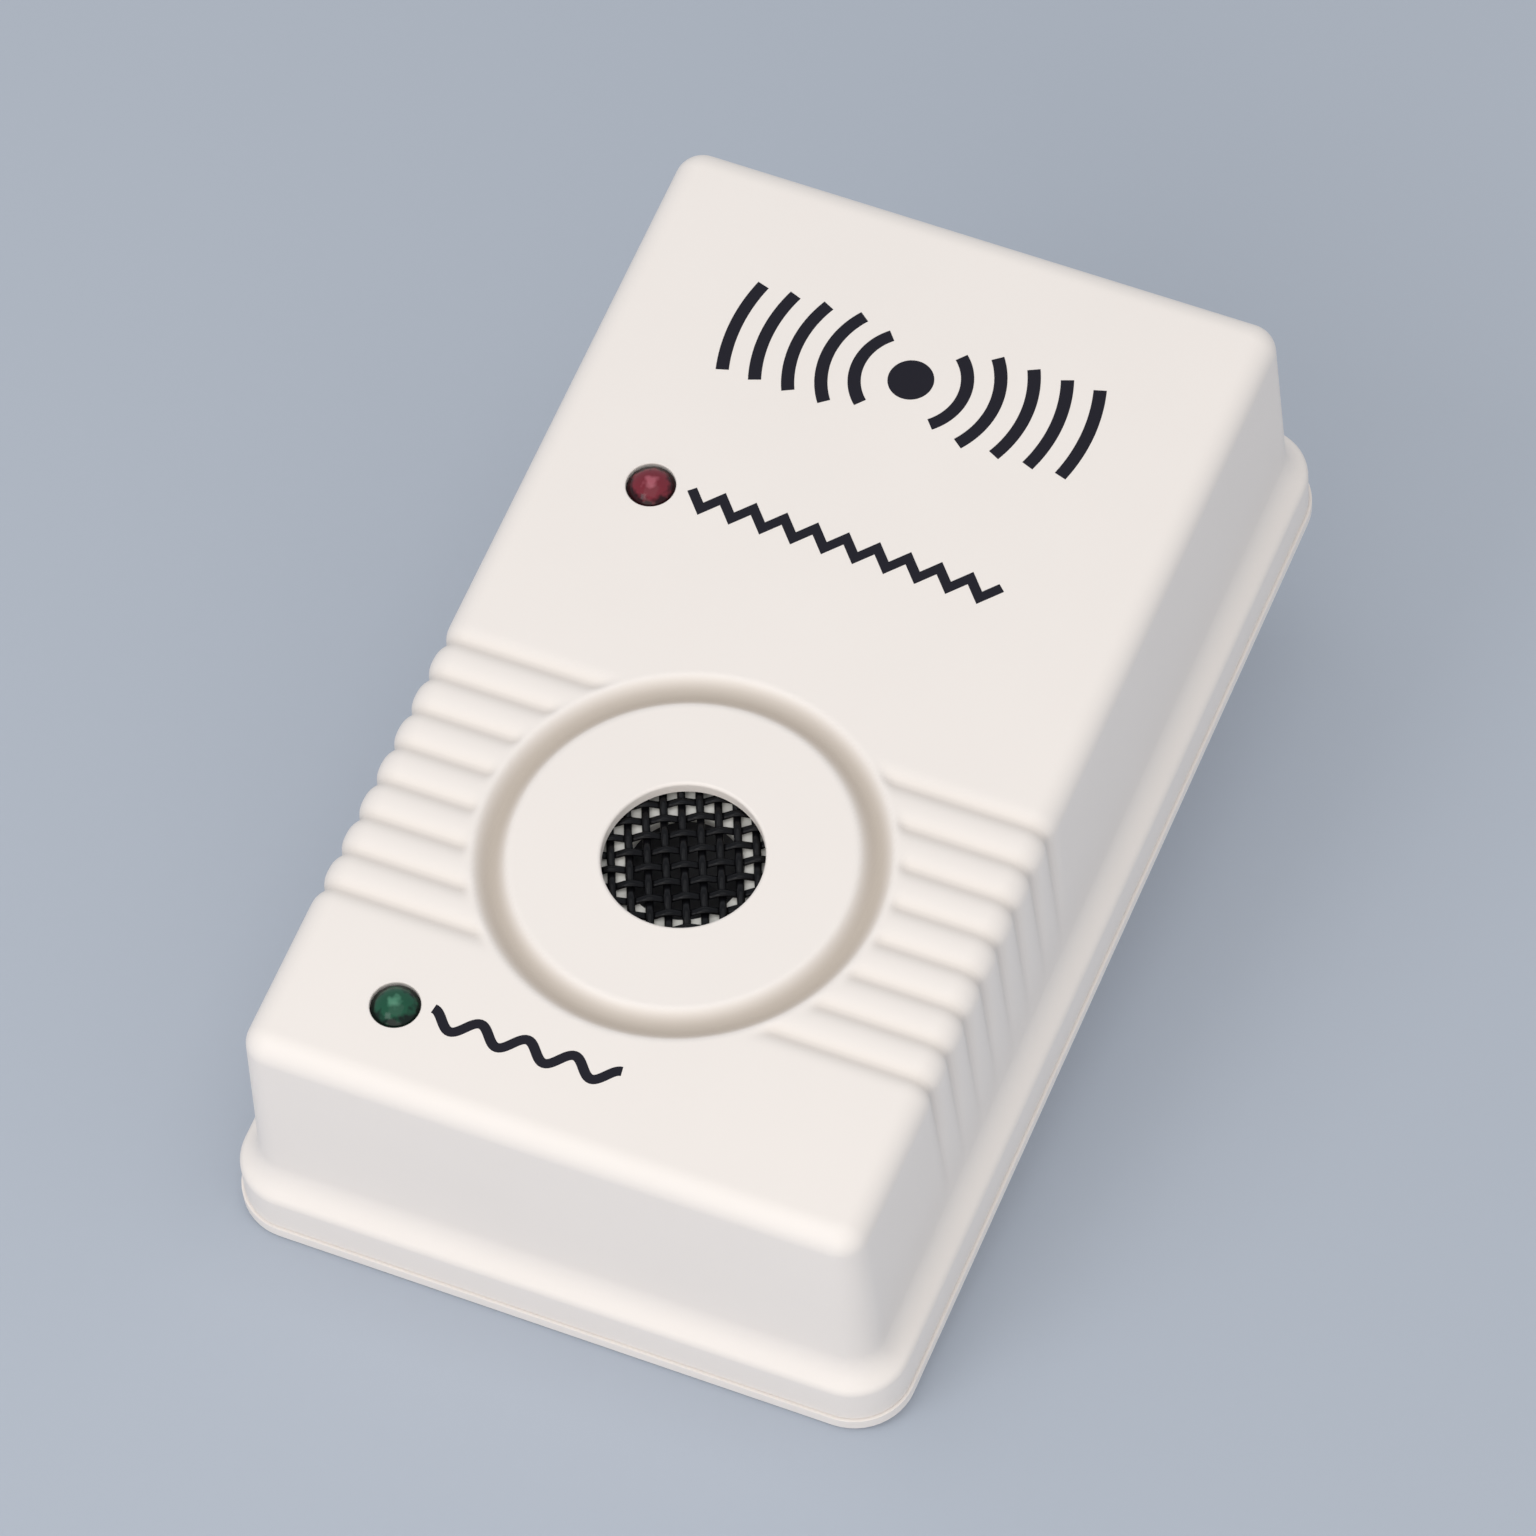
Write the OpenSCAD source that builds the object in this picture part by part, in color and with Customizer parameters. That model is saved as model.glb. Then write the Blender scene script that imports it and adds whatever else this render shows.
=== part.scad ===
// Plug-in pest repeller: a drafted moulded case with a round sounder grille, two indicator
// lamps, ribbed grips on both long sides and a two-blade plug on its back.
// Every piece is drawn lying on its back, with z out of the wall, and is then stood up:
// +Z runs up the wall, the front faces -Y, and the origin is on the wall face between the blades.

/* [Case] */
// Width over the base rim
rim_w = 70; // [68:0.5:74]
// Length over the base rim
rim_l = 117; // [107:0.5:128]
// Depth from the wall to the front face
case_d = 31; // [28:0.25:35]
// Corner radius of the base rim
rim_r = 6; // [5.5:0.25:7.5]
// Height of the base rim that shows below the parting line
rim_h = 1.7; // [1.4:0.1:2]
// Step from the base rim in to the foot of the housing
rim_step = 0.3; // [0.1:0.05:0.5]
// Radius round the base rim's wall-side edge
rim_edge_r = 0.5; // [0.2:0.1:0.8]
// Thickness of the side walls
wall_t = 1.6; // [1.4:0.1:1.8]
// Thickness of the front face
face_t = 2.4; // [2.2:0.1:2.8]
// Draft of the side walls, in degrees
draft = 2; // [1:0.25:4]
// Radius round the front face
face_edge_r = 2.6; // [1.5:0.1:3]

/* [Foot flange] */
// Height of the foot flange above the wall
foot_h = 7.2; // [6:0.2:9]
// How far the foot stands out from the side wall
foot_out = 2.1; // [1.6:0.1:2.3]
// Radius round the foot's outer edge
foot_edge_r = 1.2; // [0.6:0.1:1.6]
// Radius of the cove from the foot up into the side wall
foot_cove_r = 4; // [2:0.5:6]

/* [Grille] */
// Height of the grille's centre above the lower end of the rim
grille_up = 37.3; // [35:0.1:40]
// Diameter of the grille hole
grille_d = 15.8; // [14:0.2:18]
// Thickness of face left in front of the mesh
grille_land = 1.4; // [1:0.1:1.5]
// Mean diameter of the ring groove
ring_d = 37.1; // [34:0.1:39]
// Width of the ring groove
ring_w = 2.9; // [2:0.1:3.4]
// Depth of the ring groove
ring_depth = 1.4; // [0.8:0.1:1.4]
// Diameter of the wire mesh disc
mesh_d = 20.4; // [20:0.2:23]
// Thickness of the wire mesh
mesh_t = 0.8; // [0.5:0.1:0.8]
// Spacing of the wires
mesh_pitch = 1.75; // [1.5:0.05:2.5]
// Diameter of a wire
mesh_wire = 0.8; // [0.5:0.05:1]
// Turn of the weave on the face, in degrees
mesh_turn = 25; // [0:5:45]

/* [Ribs] */
// Number of grooves on each side
groove_count = 8; // [4:1:8]
// Spacing of the grooves
groove_pitch = 4.2; // [3.6:0.1:4.4]
// Depth of the grooves
groove_depth = 0.65; // [0.5:0.05:1]
// Flat left along the crown of a rib
rib_crown = 0.8; // [0.4:0.1:1.2]
// Flat along the floor of a groove
groove_floor = 0.1; // [0.05:0.05:0.3]
// Plain margin between the ring groove and the ends of the ribs
rib_margin = 1; // [0.5:0.1:2]

/* [Lamps] */
// Distance of both lamps from the centre line
led_x = 19.2; // [17:0.1:21]
// Height of the red lamp from the middle of the case
red_led_y = 16.4; // [13:0.1:22]
// Height of the green lamp above the lower end of the rim
green_led_up = 12.5; // [11.5:0.1:14]
// Diameter of a lamp's lens
led_d = 4.8; // [4.6:0.1:5.2]
// Length of a lamp from its base to the tip of its dome
led_len = 8.6; // [7:0.1:10]
// How far a lamp's dome stands out of the face
led_out = 0.7; // [0.2:0.1:2]
// Height of a lamp's dome above its round side
led_dome_h = 1.2; // [0.8:0.1:2.2]
// Diameter of the collar at a lamp's base
led_collar_d = 5.8; // [5.6:0.1:6.2]
// Height of the collar at a lamp's base
led_collar_h = 1; // [0.6:0.1:1.4]
// Diameter of a lamp's leg
leg_d = 0.6; // [0.4:0.05:0.7]
// Spacing of a lamp's legs
leg_pitch = 2.54; // [2:0.02:3]

/* [Plug] */
// Height of the plug's centre from the middle of the case
plug_y = 26; // [22:0.5:28]
// Distance between the blades' centres
blade_pitch = 12.7; // [12:0.1:13.5]
// Width of a blade
blade_w = 6.35; // [5.5:0.05:7]
// Thickness of a blade
blade_t = 1.5; // [1.2:0.1:1.8]
// Length of blade that stands out of the back
blade_len = 17; // [15:0.5:18]
// Diameter of the hole through a blade
blade_hole_d = 3.2; // [2.4:0.1:3.6]
// Distance of that hole from the wall face
blade_hole_at = 11.7; // [9:0.1:12.5]
// Slant length at a blade's tip
blade_tip = 2; // [1:0.1:2.4]
// Height of a blade's tail behind the insert
tail_h = 1.2; // [0.8:0.1:1.6]
// Extra width of a blade's tail on each side
tail_out = 1.2; // [0.8:0.1:1.6]
// Width of the plug insert where it fills the cover
insert_w = 25; // [22:0.5:27]
// Height of the plug insert where it fills the cover
insert_h = 14; // [12:0.5:16]
// Corner radius of the plug insert
insert_r = 3; // [2:0.25:4]
// Thickness of the insert's flange inside the cover
insert_flange_t = 1.8; // [1.4:0.1:2]
// How far the insert's flange laps the cover
insert_lap = 2; // [1:0.1:3]

/* [Back cover] */
// Thickness of the cover plate
cover_t = 2.4; // [2.2:0.1:2.8]
// Thickness of the locating lip
lip_t = 0.9; // [0.7:0.1:0.9]
// Height of the locating lip above the plate
lip_h = 1.6; // [1:0.1:2.4]

/* [Sounder] */
// Diameter of the sounder's case
sounder_d = 38; // [35:0.5:39]
// Depth of the sounder's case
sounder_h = 12; // [11:0.25:12.5]
// Wall of the sounder's case
sounder_wall = 1.4; // [1:0.1:1.8]
// Back of the sounder's case
sounder_back = 1.6; // [1.2:0.1:2]
// Width of the ledge that carries the cone
ledge_w = 1.4; // [1:0.1:2]
// Depth of that ledge below the case's front rim
ledge_depth = 0.9; // [0.6:0.1:1.2]
// Thickness of the cone
cone_t = 0.4; // [0.3:0.05:0.5]
// Depth of the cone from its rim to its tip
cone_h = 7; // [5:0.25:7.5]
// Diameter of the cone's flat tip
cone_tip_d = 8; // [6:0.25:10]
// Diameter of the piezo disc
piezo_d = 20; // [16:0.5:24]
// Thickness of the piezo disc
piezo_t = 0.5; // [0.3:0.05:0.6]
// Thickness of the ring gasket
gasket_t = 1; // [0.6:0.1:1.2]
// Inner diameter of the ring gasket
gasket_d = 11.5; // [11:0.25:14]
// Diameter of the foam pad behind the sounder
pad_d = 16; // [12:0.5:20]
// Wall of the collar that locates the sounder
collar_wall = 1.4; // [1:0.1:1.8]
// Depth of the collar
collar_h = 5; // [3:0.25:7]
// Spacing of the sounder's two leads
sounder_lead_pitch = 26; // [22:0.5:30]

/* [Board] */
// Width of the circuit board
board_w = 54; // [53:0.5:56]
// Gap between the board's ends and the screw bosses
board_end_gap = 0.5; // [0.3:0.1:2]
// Width of the tongue at the board's lower end, between the screw bosses
tongue_w = 42; // [41:0.25:43]
// Length of the tongue at the board's lower end
tongue_l = 3.5; // [2.5:0.25:5]
// Thickness of the circuit board
board_t = 1.6; // [1.2:0.1:1.8]
// Gap between the back cover and the circuit board
board_gap = 5.6; // [5.2:0.1:6]
// Distance of the posts from the centre line
post_x = 23.5; // [22.5:0.1:24]
// Distance of the upper posts from the board's upper end
upper_post_in = 6; // [5:0.25:8]
// Distance of the lower posts from the board's lower end
lower_post_in = 11; // [9:0.25:13]
// Diameter of a post
post_d = 5.6; // [5:0.1:6]
// Diameter of a board screw
board_screw_d = 2; // [1.6:0.1:2.4]
// Length of thread that a board screw has in its post
board_screw_grip = 6; // [4:0.25:8]
// Diameter of a board screw's head
board_head_d = 4.4; // [3.8:0.1:5]
// Height of a board screw's head
board_head_h = 1.6; // [1.2:0.1:2]

/* [Case screws] */
// Distance of a screw from the base rim's edges
boss_inset = 8.8; // [8.6:0.1:9.2]
// Diameter of a screw boss
boss_d = 6.4; // [5.8:0.1:6.8]
// Diameter of a screw
screw_d = 2.8; // [2.2:0.1:3.2]
// Diameter of a screw's head
screw_head_d = 5.6; // [5:0.1:6.2]
// Height of a screw's countersunk head
screw_head_h = 1.6; // [1.3:0.1:1.8]
// Length of a screw
screw_len = 14; // [10:0.5:18]
// Width of the slot across a screw's head
slot_w = 0.9; // [0.7:0.1:1.2]
// Depth of the slot across a screw's head
slot_depth = 0.7; // [0.5:0.1:0.9]

/* [Electromagnet] */
// Gap between the bobbin's flanges and the front face
bobbin_gap = 4.5; // [2.5:0.25:6]
// Length over the bobbin's flanges
bobbin_l = 28; // [24:0.5:30]
// Thickness of a bobbin flange
bobbin_flange_t = 1.5; // [1:0.1:2]
// Wall of the bobbin's tube
bobbin_wall = 0.7; // [0.5:0.1:1]
// Width of the foot under a bobbin flange
bobbin_foot_w = 9; // [6:0.5:11]
// Diameter of the coil's core as a share of the bobbin's
core_share = 0.46; // [0.4:0.01:0.5]
// Length of the coil's core
core_l = 31; // [30:0.25:33]
// Depth of the winding below the rims of the bobbin's flanges
winding_in = 0.6; // [0.4:0.1:1]

/* [Components] */
// Least gap between neighbouring components
part_gap = 1.5; // [1:0.1:1.8]
// Width of the film capacitor
film_w = 18; // [15:0.5:19]
// Depth of the film capacitor across the board
film_depth = 8.5; // [7:0.25:9.5]
// Gap between the film capacitor and the front face
film_gap = 3; // [1:0.25:5]
// Diameter of the smoothing capacitor
can_d = 10; // [8:0.25:10.5]
// Gap between the smoothing capacitor and the front face
can_gap = 2.5; // [1:0.25:5]
// Length of the timer chip
chip_l = 19.2; // [18.4:0.1:19.8]
// Width of the timer chip
chip_w = 6.4; // [6:0.1:7]
// Thickness of the timer chip
chip_t = 3.3; // [3:0.1:3.6]
// Height of the timer chip above the board
chip_lift = 0.6; // [0.4:0.1:1]
// Number of pins along one side of the timer chip
chip_pin_count = 7; // [4:1:7]
// Spacing of the timer chip's pins
chip_pin_pitch = 2.54; // [2.4:0.02:2.6]
// Width of a chip pin
chip_pin_w = 0.5; // [0.4:0.05:0.8]
// Thickness of a chip pin
chip_pin_t = 0.3; // [0.2:0.05:0.4]
// Diameter of a transistor
transistor_d = 4.8; // [4.4:0.1:5.2]
// Height of a transistor
transistor_h = 4.8; // [4:0.1:5.4]
// Depth of a transistor from its flat to its back
transistor_depth = 3.7; // [3.4:0.1:4.2]
// Number of rectifier diodes
diode_count = 4; // [2:1:4]
// Diameter of a diode
diode_d = 2.7; // [2.2:0.1:3]
// Length of a diode
diode_l = 5.2; // [4.5:0.1:5.6]
// Number of resistors
resistor_count = 3; // [2:1:3]
// Diameter of a resistor
resistor_d = 2.3; // [1.8:0.1:2.6]
// Length of a resistor
resistor_l = 6.3; // [5.5:0.1:6.6]
// Diameter of the fuse
fuse_d = 3.6; // [3:0.1:4]
// Length of the fuse
fuse_l = 10; // [8:0.25:12]
// Length of a fuse's end cap
fuse_cap_l = 2.5; // [2:0.1:3]
// Step between the fuse's tube and its end caps
fuse_cap_step = 0.3; // [0.2:0.05:0.4]
// Diameter of the choke's flanges
choke_d = 8; // [7:0.1:9]
// Height of the choke
choke_h = 10; // [8:0.25:10.5]
// Thickness of a choke flange
choke_flange_t = 1.5; // [1:0.1:2]
// Diameter of the choke's waist
choke_waist_d = 4; // [3:0.1:5]
// Depth of winding on the choke
choke_winding_t = 1.4; // [0.8:0.1:1.5]
// Diameter of an insulated lead
lead_d = 1.4; // [1:0.1:1.5]
// How far the mains leads run up the board
lead_run = 9; // [7:0.25:12]

/* [Fits] */
// Gap between pieces that sit on one another
seat = 0.05; // [0.02:0.01:0.1]
// Gap at the parting line of the case
parting_gap = 0.1; // [0.05:0.01:0.15]
// Clearance round the cover's lip, the lamps, the mesh, the sounder and the insert
slip = 0.15; // [0.1:0.01:0.25]
// Clearance round a screw
screw_slip = 0.1; // [0.05:0.01:0.2]
// Depth of a screw's head below the wall face
screw_sink = 0.1; // [0.05:0.01:0.2]

/* [Hidden] */
$fn = 96;
// Overshoot of a cutting tool past the face that it cuts, and of a joint inside one piece
over = 0.5;

part_z = rim_h + parting_gap;
core_x = rim_w / 2 - rim_r;
core_y = rim_l / 2 - rim_r;
foot_r = rim_r - rim_step;
face_in = case_d - face_t;
board_z = cover_t + board_gap;
board_top = board_z + board_t;

// Corner radius of the side wall's outside and inside at height z
function wall_r(z) = foot_r - foot_out - (z - foot_h) * tan(draft);
function inner_r(z) = wall_r(z) - wall_t / cos(draft);

// Radius round the front face, held inside the corner radius that the draft leaves there
face_round = min(face_edge_r, (wall_r(case_d) - 0.05) * cos(draft) / (1 - sin(draft)));

// Centre of the round along the front edge, in the half profile
edge_z = case_d - face_round;
edge_x = wall_r(edge_z) - face_round / cos(draft);

// How far past tangent the cove runs into the wall and the foot, so that its ends are clean edges
cove_bite = 0.02;

// Centre of the round on the foot, and of the cove that rolls off it up into the side wall
foot_centre = [foot_r - foot_edge_r, foot_h - foot_edge_r];
cove_reach = foot_cove_r + foot_edge_r;
cove_off = wall_r(foot_centre[1]) + foot_cove_r / cos(draft) - foot_centre[0];
cove_short = (pow(cove_reach, 2) - pow(cove_off, 2)) / pow(cos(draft), 2);
cove_root = sqrt(pow(cove_off * tan(draft), 2) + cove_short);
cove_rise = (cove_off * tan(draft) + cove_root) * pow(cos(draft), 2);
cove_centre = foot_centre + [cove_off - cove_rise * tan(draft), cove_rise];
cove_roll = foot_centre + (cove_centre - foot_centre) * foot_edge_r / cove_reach;
cove_top = cove_centre - foot_cove_r * [cos(draft), sin(draft)];

// Ribs are parts of cylinders that meet in narrow grooves
half_chord = (groove_pitch - groove_floor) / 2;
rib_r = (pow(half_chord, 2) + pow(groove_depth, 2)) / (2 * groove_depth);
groove_w = groove_pitch - rib_crown;
edge_reach = core_x + edge_x;
wall_run = (edge_z - cove_top[1]) / cos(draft);
groove_fade = atan(groove_depth / wall_run);

// Place of the grille, and levels in the stack behind it
grille_y = grille_up - rim_l / 2;
mesh_top = case_d - grille_land - seat;
gasket_top = face_in - seat;
sounder_front = gasket_top - gasket_t - seat;
sounder_z = sounder_front - sounder_h;
sounder_r = sounder_d / 2;
collar_r = sounder_r + slip;
ledge_z = sounder_front - ledge_depth;
cone_rim_r = sounder_r - sounder_wall - slip;
cone_mouth_r = sounder_r - sounder_wall - ledge_w - slip;
cone_tip_z = ledge_z + seat - cone_h;

// Levels and places of the lamps
led_tip = case_d + led_out;
led_base = led_tip - led_len;
led_dome_r = (pow(led_d / 2, 2) + pow(led_dome_h, 2)) / (2 * led_dome_h);
green_led_y = green_led_up - rim_l / 2;
leds = [[-led_x, red_led_y], [-led_x, green_led_y]];

// Places of the screws, the board's ends and the posts
boss_x = rim_w / 2 - boss_inset;
boss_y = rim_l / 2 - boss_inset;
board_l = 2 * (boss_y - boss_d / 2 - board_end_gap);
lower_post_y = lower_post_in - board_l / 2;
upper_post_y = board_l / 2 - upper_post_in;
bosses = [for (x = [-boss_x, boss_x], y = [-boss_y, boss_y]) [x, y]];
posts = [for (x = [-post_x, post_x], y = [lower_post_y, upper_post_y]) [x, y]];

// Levels behind the plug
insert_top = cover_t + seat + insert_flange_t;
tail_top = insert_top + seat + tail_h;
lead_z = (tail_top + board_z) / 2;

// Heights of the tall components, which reach up towards the front face
seat_z = board_top + seat;
inside_h = face_in - seat_z;
bobbin_d = inside_h - bobbin_gap;
core_d = core_share * bobbin_d;
film_h = inside_h - film_gap;
can_h = inside_h - can_gap;

// Rows of components down the board, each clear of the row above it
coil_y = board_l / 2 - part_gap - bobbin_d / 2;
coil_z = seat_z + bobbin_d / 2;
can_y = coil_y - bobbin_d / 2 - part_gap - max(can_d, film_depth) / 2;
chip_span = chip_w + 2 * (seat + chip_pin_t);
chip_y = can_y - max(can_d, film_depth) / 2 - part_gap - chip_span / 2;
diode_y = chip_y - chip_span / 2 - part_gap - diode_l / 2;
can_x = -can_d / 2 - 2 * part_gap;
film_x = can_x + can_d / 2 + part_gap + film_w / 2;
fuse_x = board_w / 2 - part_gap - fuse_d / 2;
chip_x = part_gap;
transistor_x = chip_x + chip_l / 2 + part_gap + transistor_d / 2;
choke_x = -(core_l / 2 + part_gap + choke_d / 2);
choke_y = can_y + can_d / 2;
diode_pitch = diode_d + part_gap;
resistor_pitch = resistor_d + part_gap;

// Stands a piece up against the wall, with the plug's centre at the origin
module stood_up() {
    rotate([90, 0, 0])
        translate([0, -plug_y, 0])
            children();
}

// Runs a half profile round the case's rounded outline, x outwards and y out of the wall
module round_the_case() {
    for (side = [0:3]) {
        out = side % 2 == 0 ? core_x : core_y;
        along = side % 2 == 0 ? core_y : core_x;
        rotate(90 * side)
            translate([out, 0, 0]) {
                rotate([90, 0, 0])
                    linear_extrude(2 * along, center = true)
                        children();
                translate([0, along, 0])
                    rotate_extrude(angle = 90)
                        children();
            }
    }
}

// The same, filled across the middle from one level to another
module filled_case(low, high) {
    round_the_case()
        children();
    translate([-core_x, -core_y, low])
        cube([2 * core_x, 2 * core_y, high - low]);
}

// Upright cylinder between two levels
module post(d, low, high) {
    translate([0, 0, low])
        cylinder(h = high - low, d = d);
}

// Upright block with rounded corners between two levels
module round_block(w, l, r, low, high) {
    translate([0, 0, low])
        linear_extrude(high - low) {
            square([w - 2 * r, l], center = true);
            square([w, l - 2 * r], center = true);
            for (x = [-1, 1], y = [-1, 1])
                translate([x * (w / 2 - r), y * (l / 2 - r)])
                    circle(r);
        }
}

// Straight round bar between two points
module bar(from, to, d) {
    run = to - from;
    translate(from)
        rotate([0, acos(run[2] / norm(run)), atan2(run[1], run[0])])
            cylinder(h = norm(run), d = d);
}

// Half profile of the housing's outside: wall, rounded front edge and foot with its cove
module outside_profile() {
    polygon([
        [0, part_z],
        [wall_r(part_z), part_z],
        [edge_x + face_round * cos(draft), edge_z + face_round * sin(draft)],
        [edge_x, edge_z],
        [edge_x, case_d],
        [0, case_d]
    ]);
    translate([edge_x, edge_z])
        intersection() {
            circle(face_round);
            square(face_round + over);
        }
    translate([0, part_z])
        square([foot_r, foot_centre[1] - part_z]);
    translate(foot_centre)
        circle(foot_edge_r);
    difference() {
        polygon([
            [0, foot_centre[1]], foot_centre, cove_roll, cove_centre, cove_top, [0, cove_top[1]]
        ]);
        translate(cove_centre - cove_bite * [cos(draft), sin(draft)])
            circle(foot_cove_r);
    }
}

// Half profile of the housing's cavity
module inside_profile() {
    polygon([
        [0, part_z - over],
        [inner_r(part_z - over), part_z - over],
        [inner_r(face_in), face_in],
        [0, face_in]
    ]);
}

// Section of one groove between two ribs: x along the side, y out of the surface
module groove_section() {
    difference() {
        translate([-groove_w / 2, -groove_depth])
            square([groove_w, groove_depth + over]);
        for (side = [-1, 1])
            translate([side * groove_pitch / 2, -rib_r])
                circle(rib_r);
    }
}

// One groove: across the face, round the front edge, and fading out down the side wall
module groove() {
    translate([0, 0, case_d])
        rotate([90, 0, 90])
            linear_extrude(edge_reach)
                groove_section();
    translate([edge_reach, 0, edge_z])
        rotate([90, 0, 0])
            rotate(draft)
                rotate_extrude(angle = 90 - draft)
                    translate([face_round, 0])
                        rotate(-90)
                            groove_section();
    translate([edge_reach, 0, edge_z])
        rotate([0, -draft, 0])
            translate([face_round, 0, 0])
                rotate([0, 180 - groove_fade, 0])
                    rotate(-90)
                        linear_extrude(wall_run)
                            groove_section();
}

// The grooves on both long sides, kept off the ring round the grille
module grooves() {
    difference() {
        for (side = [0, 1], i = [0:groove_count - 1])
            mirror([side, 0, 0])
                translate([0, grille_y + (i - (groove_count - 1) / 2) * groove_pitch, 0])
                    groove();
        translate([0, grille_y, 0])
            post(ring_d + ring_w + 2 * rib_margin, face_in, case_d + 2 * over);
    }
}

// Ring groove round the grille, an arc in section
module ring_groove() {
    arc_r = (pow(ring_w / 2, 2) + pow(ring_depth, 2)) / (2 * ring_depth);
    translate([0, grille_y, case_d - ring_depth + arc_r])
        rotate_extrude()
            translate([ring_d / 2, 0])
                circle(arc_r);
}

// Everything that the housing carries inside: sounder collar, screw bosses and board posts
module housing_inside() {
    translate([0, grille_y, 0])
        difference() {
            post(2 * (collar_r + collar_wall), face_in - collar_h, face_in + over);
            post(2 * collar_r, face_in - collar_h - over, face_in + 2 * over);
        }
    for (place = bosses)
        translate(place)
            post(boss_d, cover_t + seat, face_in + over);
    for (place = posts)
        translate(place)
            post(post_d, seat_z, face_in + over);
}

module front_housing() {
    color("ivory")
        stood_up()
            difference() {
                union() {
                    difference() {
                        filled_case(part_z, case_d)
                            outside_profile();
                        filled_case(part_z - over, face_in)
                            inside_profile();
                    }
                    housing_inside();
                }
                grooves();
                ring_groove();
                translate([0, grille_y, 0]) {
                    post(grille_d, face_in - over, case_d + over);
                    post(mesh_d + 2 * slip, face_in - over, case_d - grille_land);
                }
                for (place = leds)
                    translate(place)
                        post(led_d + 2 * slip, face_in - over, case_d + over);
                for (place = bosses)
                    translate(place)
                        post(screw_d + 2 * screw_slip, 0, screw_len + 2 * over);
                for (place = posts)
                    translate(place)
                        post(
                            board_screw_d + 2 * screw_slip,
                            seat_z - over,
                            seat_z + board_screw_grip + over
                        );
            }
}

// Half profile of the cover's rim, rounded along its wall-side edge
module rim_profile() {
    translate([0, rim_edge_r])
        square([rim_r, rim_h - rim_edge_r]);
    square([rim_r - rim_edge_r, rim_edge_r]);
    translate([rim_r - rim_edge_r, rim_edge_r])
        circle(rim_edge_r);
}

// Hole for a countersunk screw through the cover
module screw_hole() {
    post(screw_d + 2 * screw_slip, -over, cover_t + over);
    translate([0, 0, screw_sink])
        cylinder(h = screw_head_h, d1 = screw_head_d + 2 * screw_slip, d2 = screw_d + 2 * screw_slip);
    post(screw_head_d + 2 * screw_slip, -over, screw_sink);
}

module back_cover() {
    lip_r = inner_r(cover_t + lip_h) - slip;
    color("ivory")
        stood_up()
            difference() {
                union() {
                    filled_case(0, rim_h)
                        rim_profile();
                    filled_case(rim_h, cover_t)
                        translate([0, rim_h])
                            square([lip_r, cover_t - rim_h]);
                    round_the_case()
                        translate([lip_r - lip_t, cover_t])
                            square([lip_t, lip_h]);
                }
                for (place = bosses)
                    translate(place)
                        screw_hole();
                translate([0, plug_y, 0])
                    round_block(
                        insert_w + 2 * slip,
                        insert_h + 2 * slip,
                        insert_r + slip,
                        -over,
                        cover_t + over
                    );
            }
}

module plug_insert() {
    color("gainsboro")
        stood_up()
            translate([0, plug_y, 0])
                difference() {
                    union() {
                        round_block(insert_w, insert_h, insert_r, 0, cover_t + seat + over);
                        round_block(
                            insert_w + 2 * insert_lap, insert_h + 2 * insert_lap, insert_r + insert_lap,
                            cover_t + seat, insert_top
                        );
                    }
                    for (side = [-1, 1])
                        translate([side * blade_pitch / 2, 0, insert_top / 2])
                            cube(
                                [blade_t + 2 * seat, blade_w + 2 * seat, insert_top + 2 * over],
                                center = true
                            );
                }
}

// A plug blade with slanted corners at its tip, a hole, and a wider tail behind the insert
module blade(side) {
    color("silver")
        stood_up()
            translate([side * blade_pitch / 2, plug_y, 0])
                rotate([90, 0, 90])
                    linear_extrude(blade_t, center = true)
                        difference() {
                            polygon([
                                [-blade_w / 2, insert_top + seat],
                                [-blade_w / 2, blade_tip - blade_len],
                                [blade_tip / 2 - blade_w / 2, -blade_len],
                                [blade_w / 2 - blade_tip / 2, -blade_len],
                                [blade_w / 2, blade_tip - blade_len],
                                [blade_w / 2, insert_top + seat],
                                [blade_w / 2 + tail_out, insert_top + seat],
                                [blade_w / 2 + tail_out, tail_top],
                                [-blade_w / 2 - tail_out, tail_top],
                                [-blade_w / 2 - tail_out, insert_top + seat]
                            ]);
                            translate([0, -blade_hole_at])
                                circle(d = blade_hole_d);
                        }
}

module plug_blade_left() {
    blade(-1);
}

module plug_blade_right() {
    blade(1);
}

module case_screws() {
    color("darkgray")
        stood_up()
            for (place = bosses)
                translate(place)
                    difference() {
                        union() {
                            translate([0, 0, screw_sink])
                                cylinder(h = screw_head_h, d1 = screw_head_d, d2 = screw_d);
                            post(screw_d, screw_sink + screw_head_h / 2, screw_len);
                        }
                        translate([0, 0, screw_sink])
                            cube([screw_head_d + over, slot_w, 2 * slot_depth], center = true);
                    }
}

module grille_mesh() {
    steps = floor((grille_d / 2 - mesh_wire) / mesh_pitch);
    gap = mesh_pitch - mesh_wire;
    color("dimgray")
        stood_up()
            translate([0, grille_y, 0])
                difference() {
                    post(mesh_d, mesh_top - mesh_t, mesh_top);
                    rotate(mesh_turn)
                        for (i = [-steps:steps], j = [-steps:steps])
                            if (norm([i, j]) * mesh_pitch < grille_d / 2)
                                translate([i * mesh_pitch, j * mesh_pitch, mesh_top])
                                    cube([gap, gap, 4 * mesh_t], center = true);
                }
}

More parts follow.
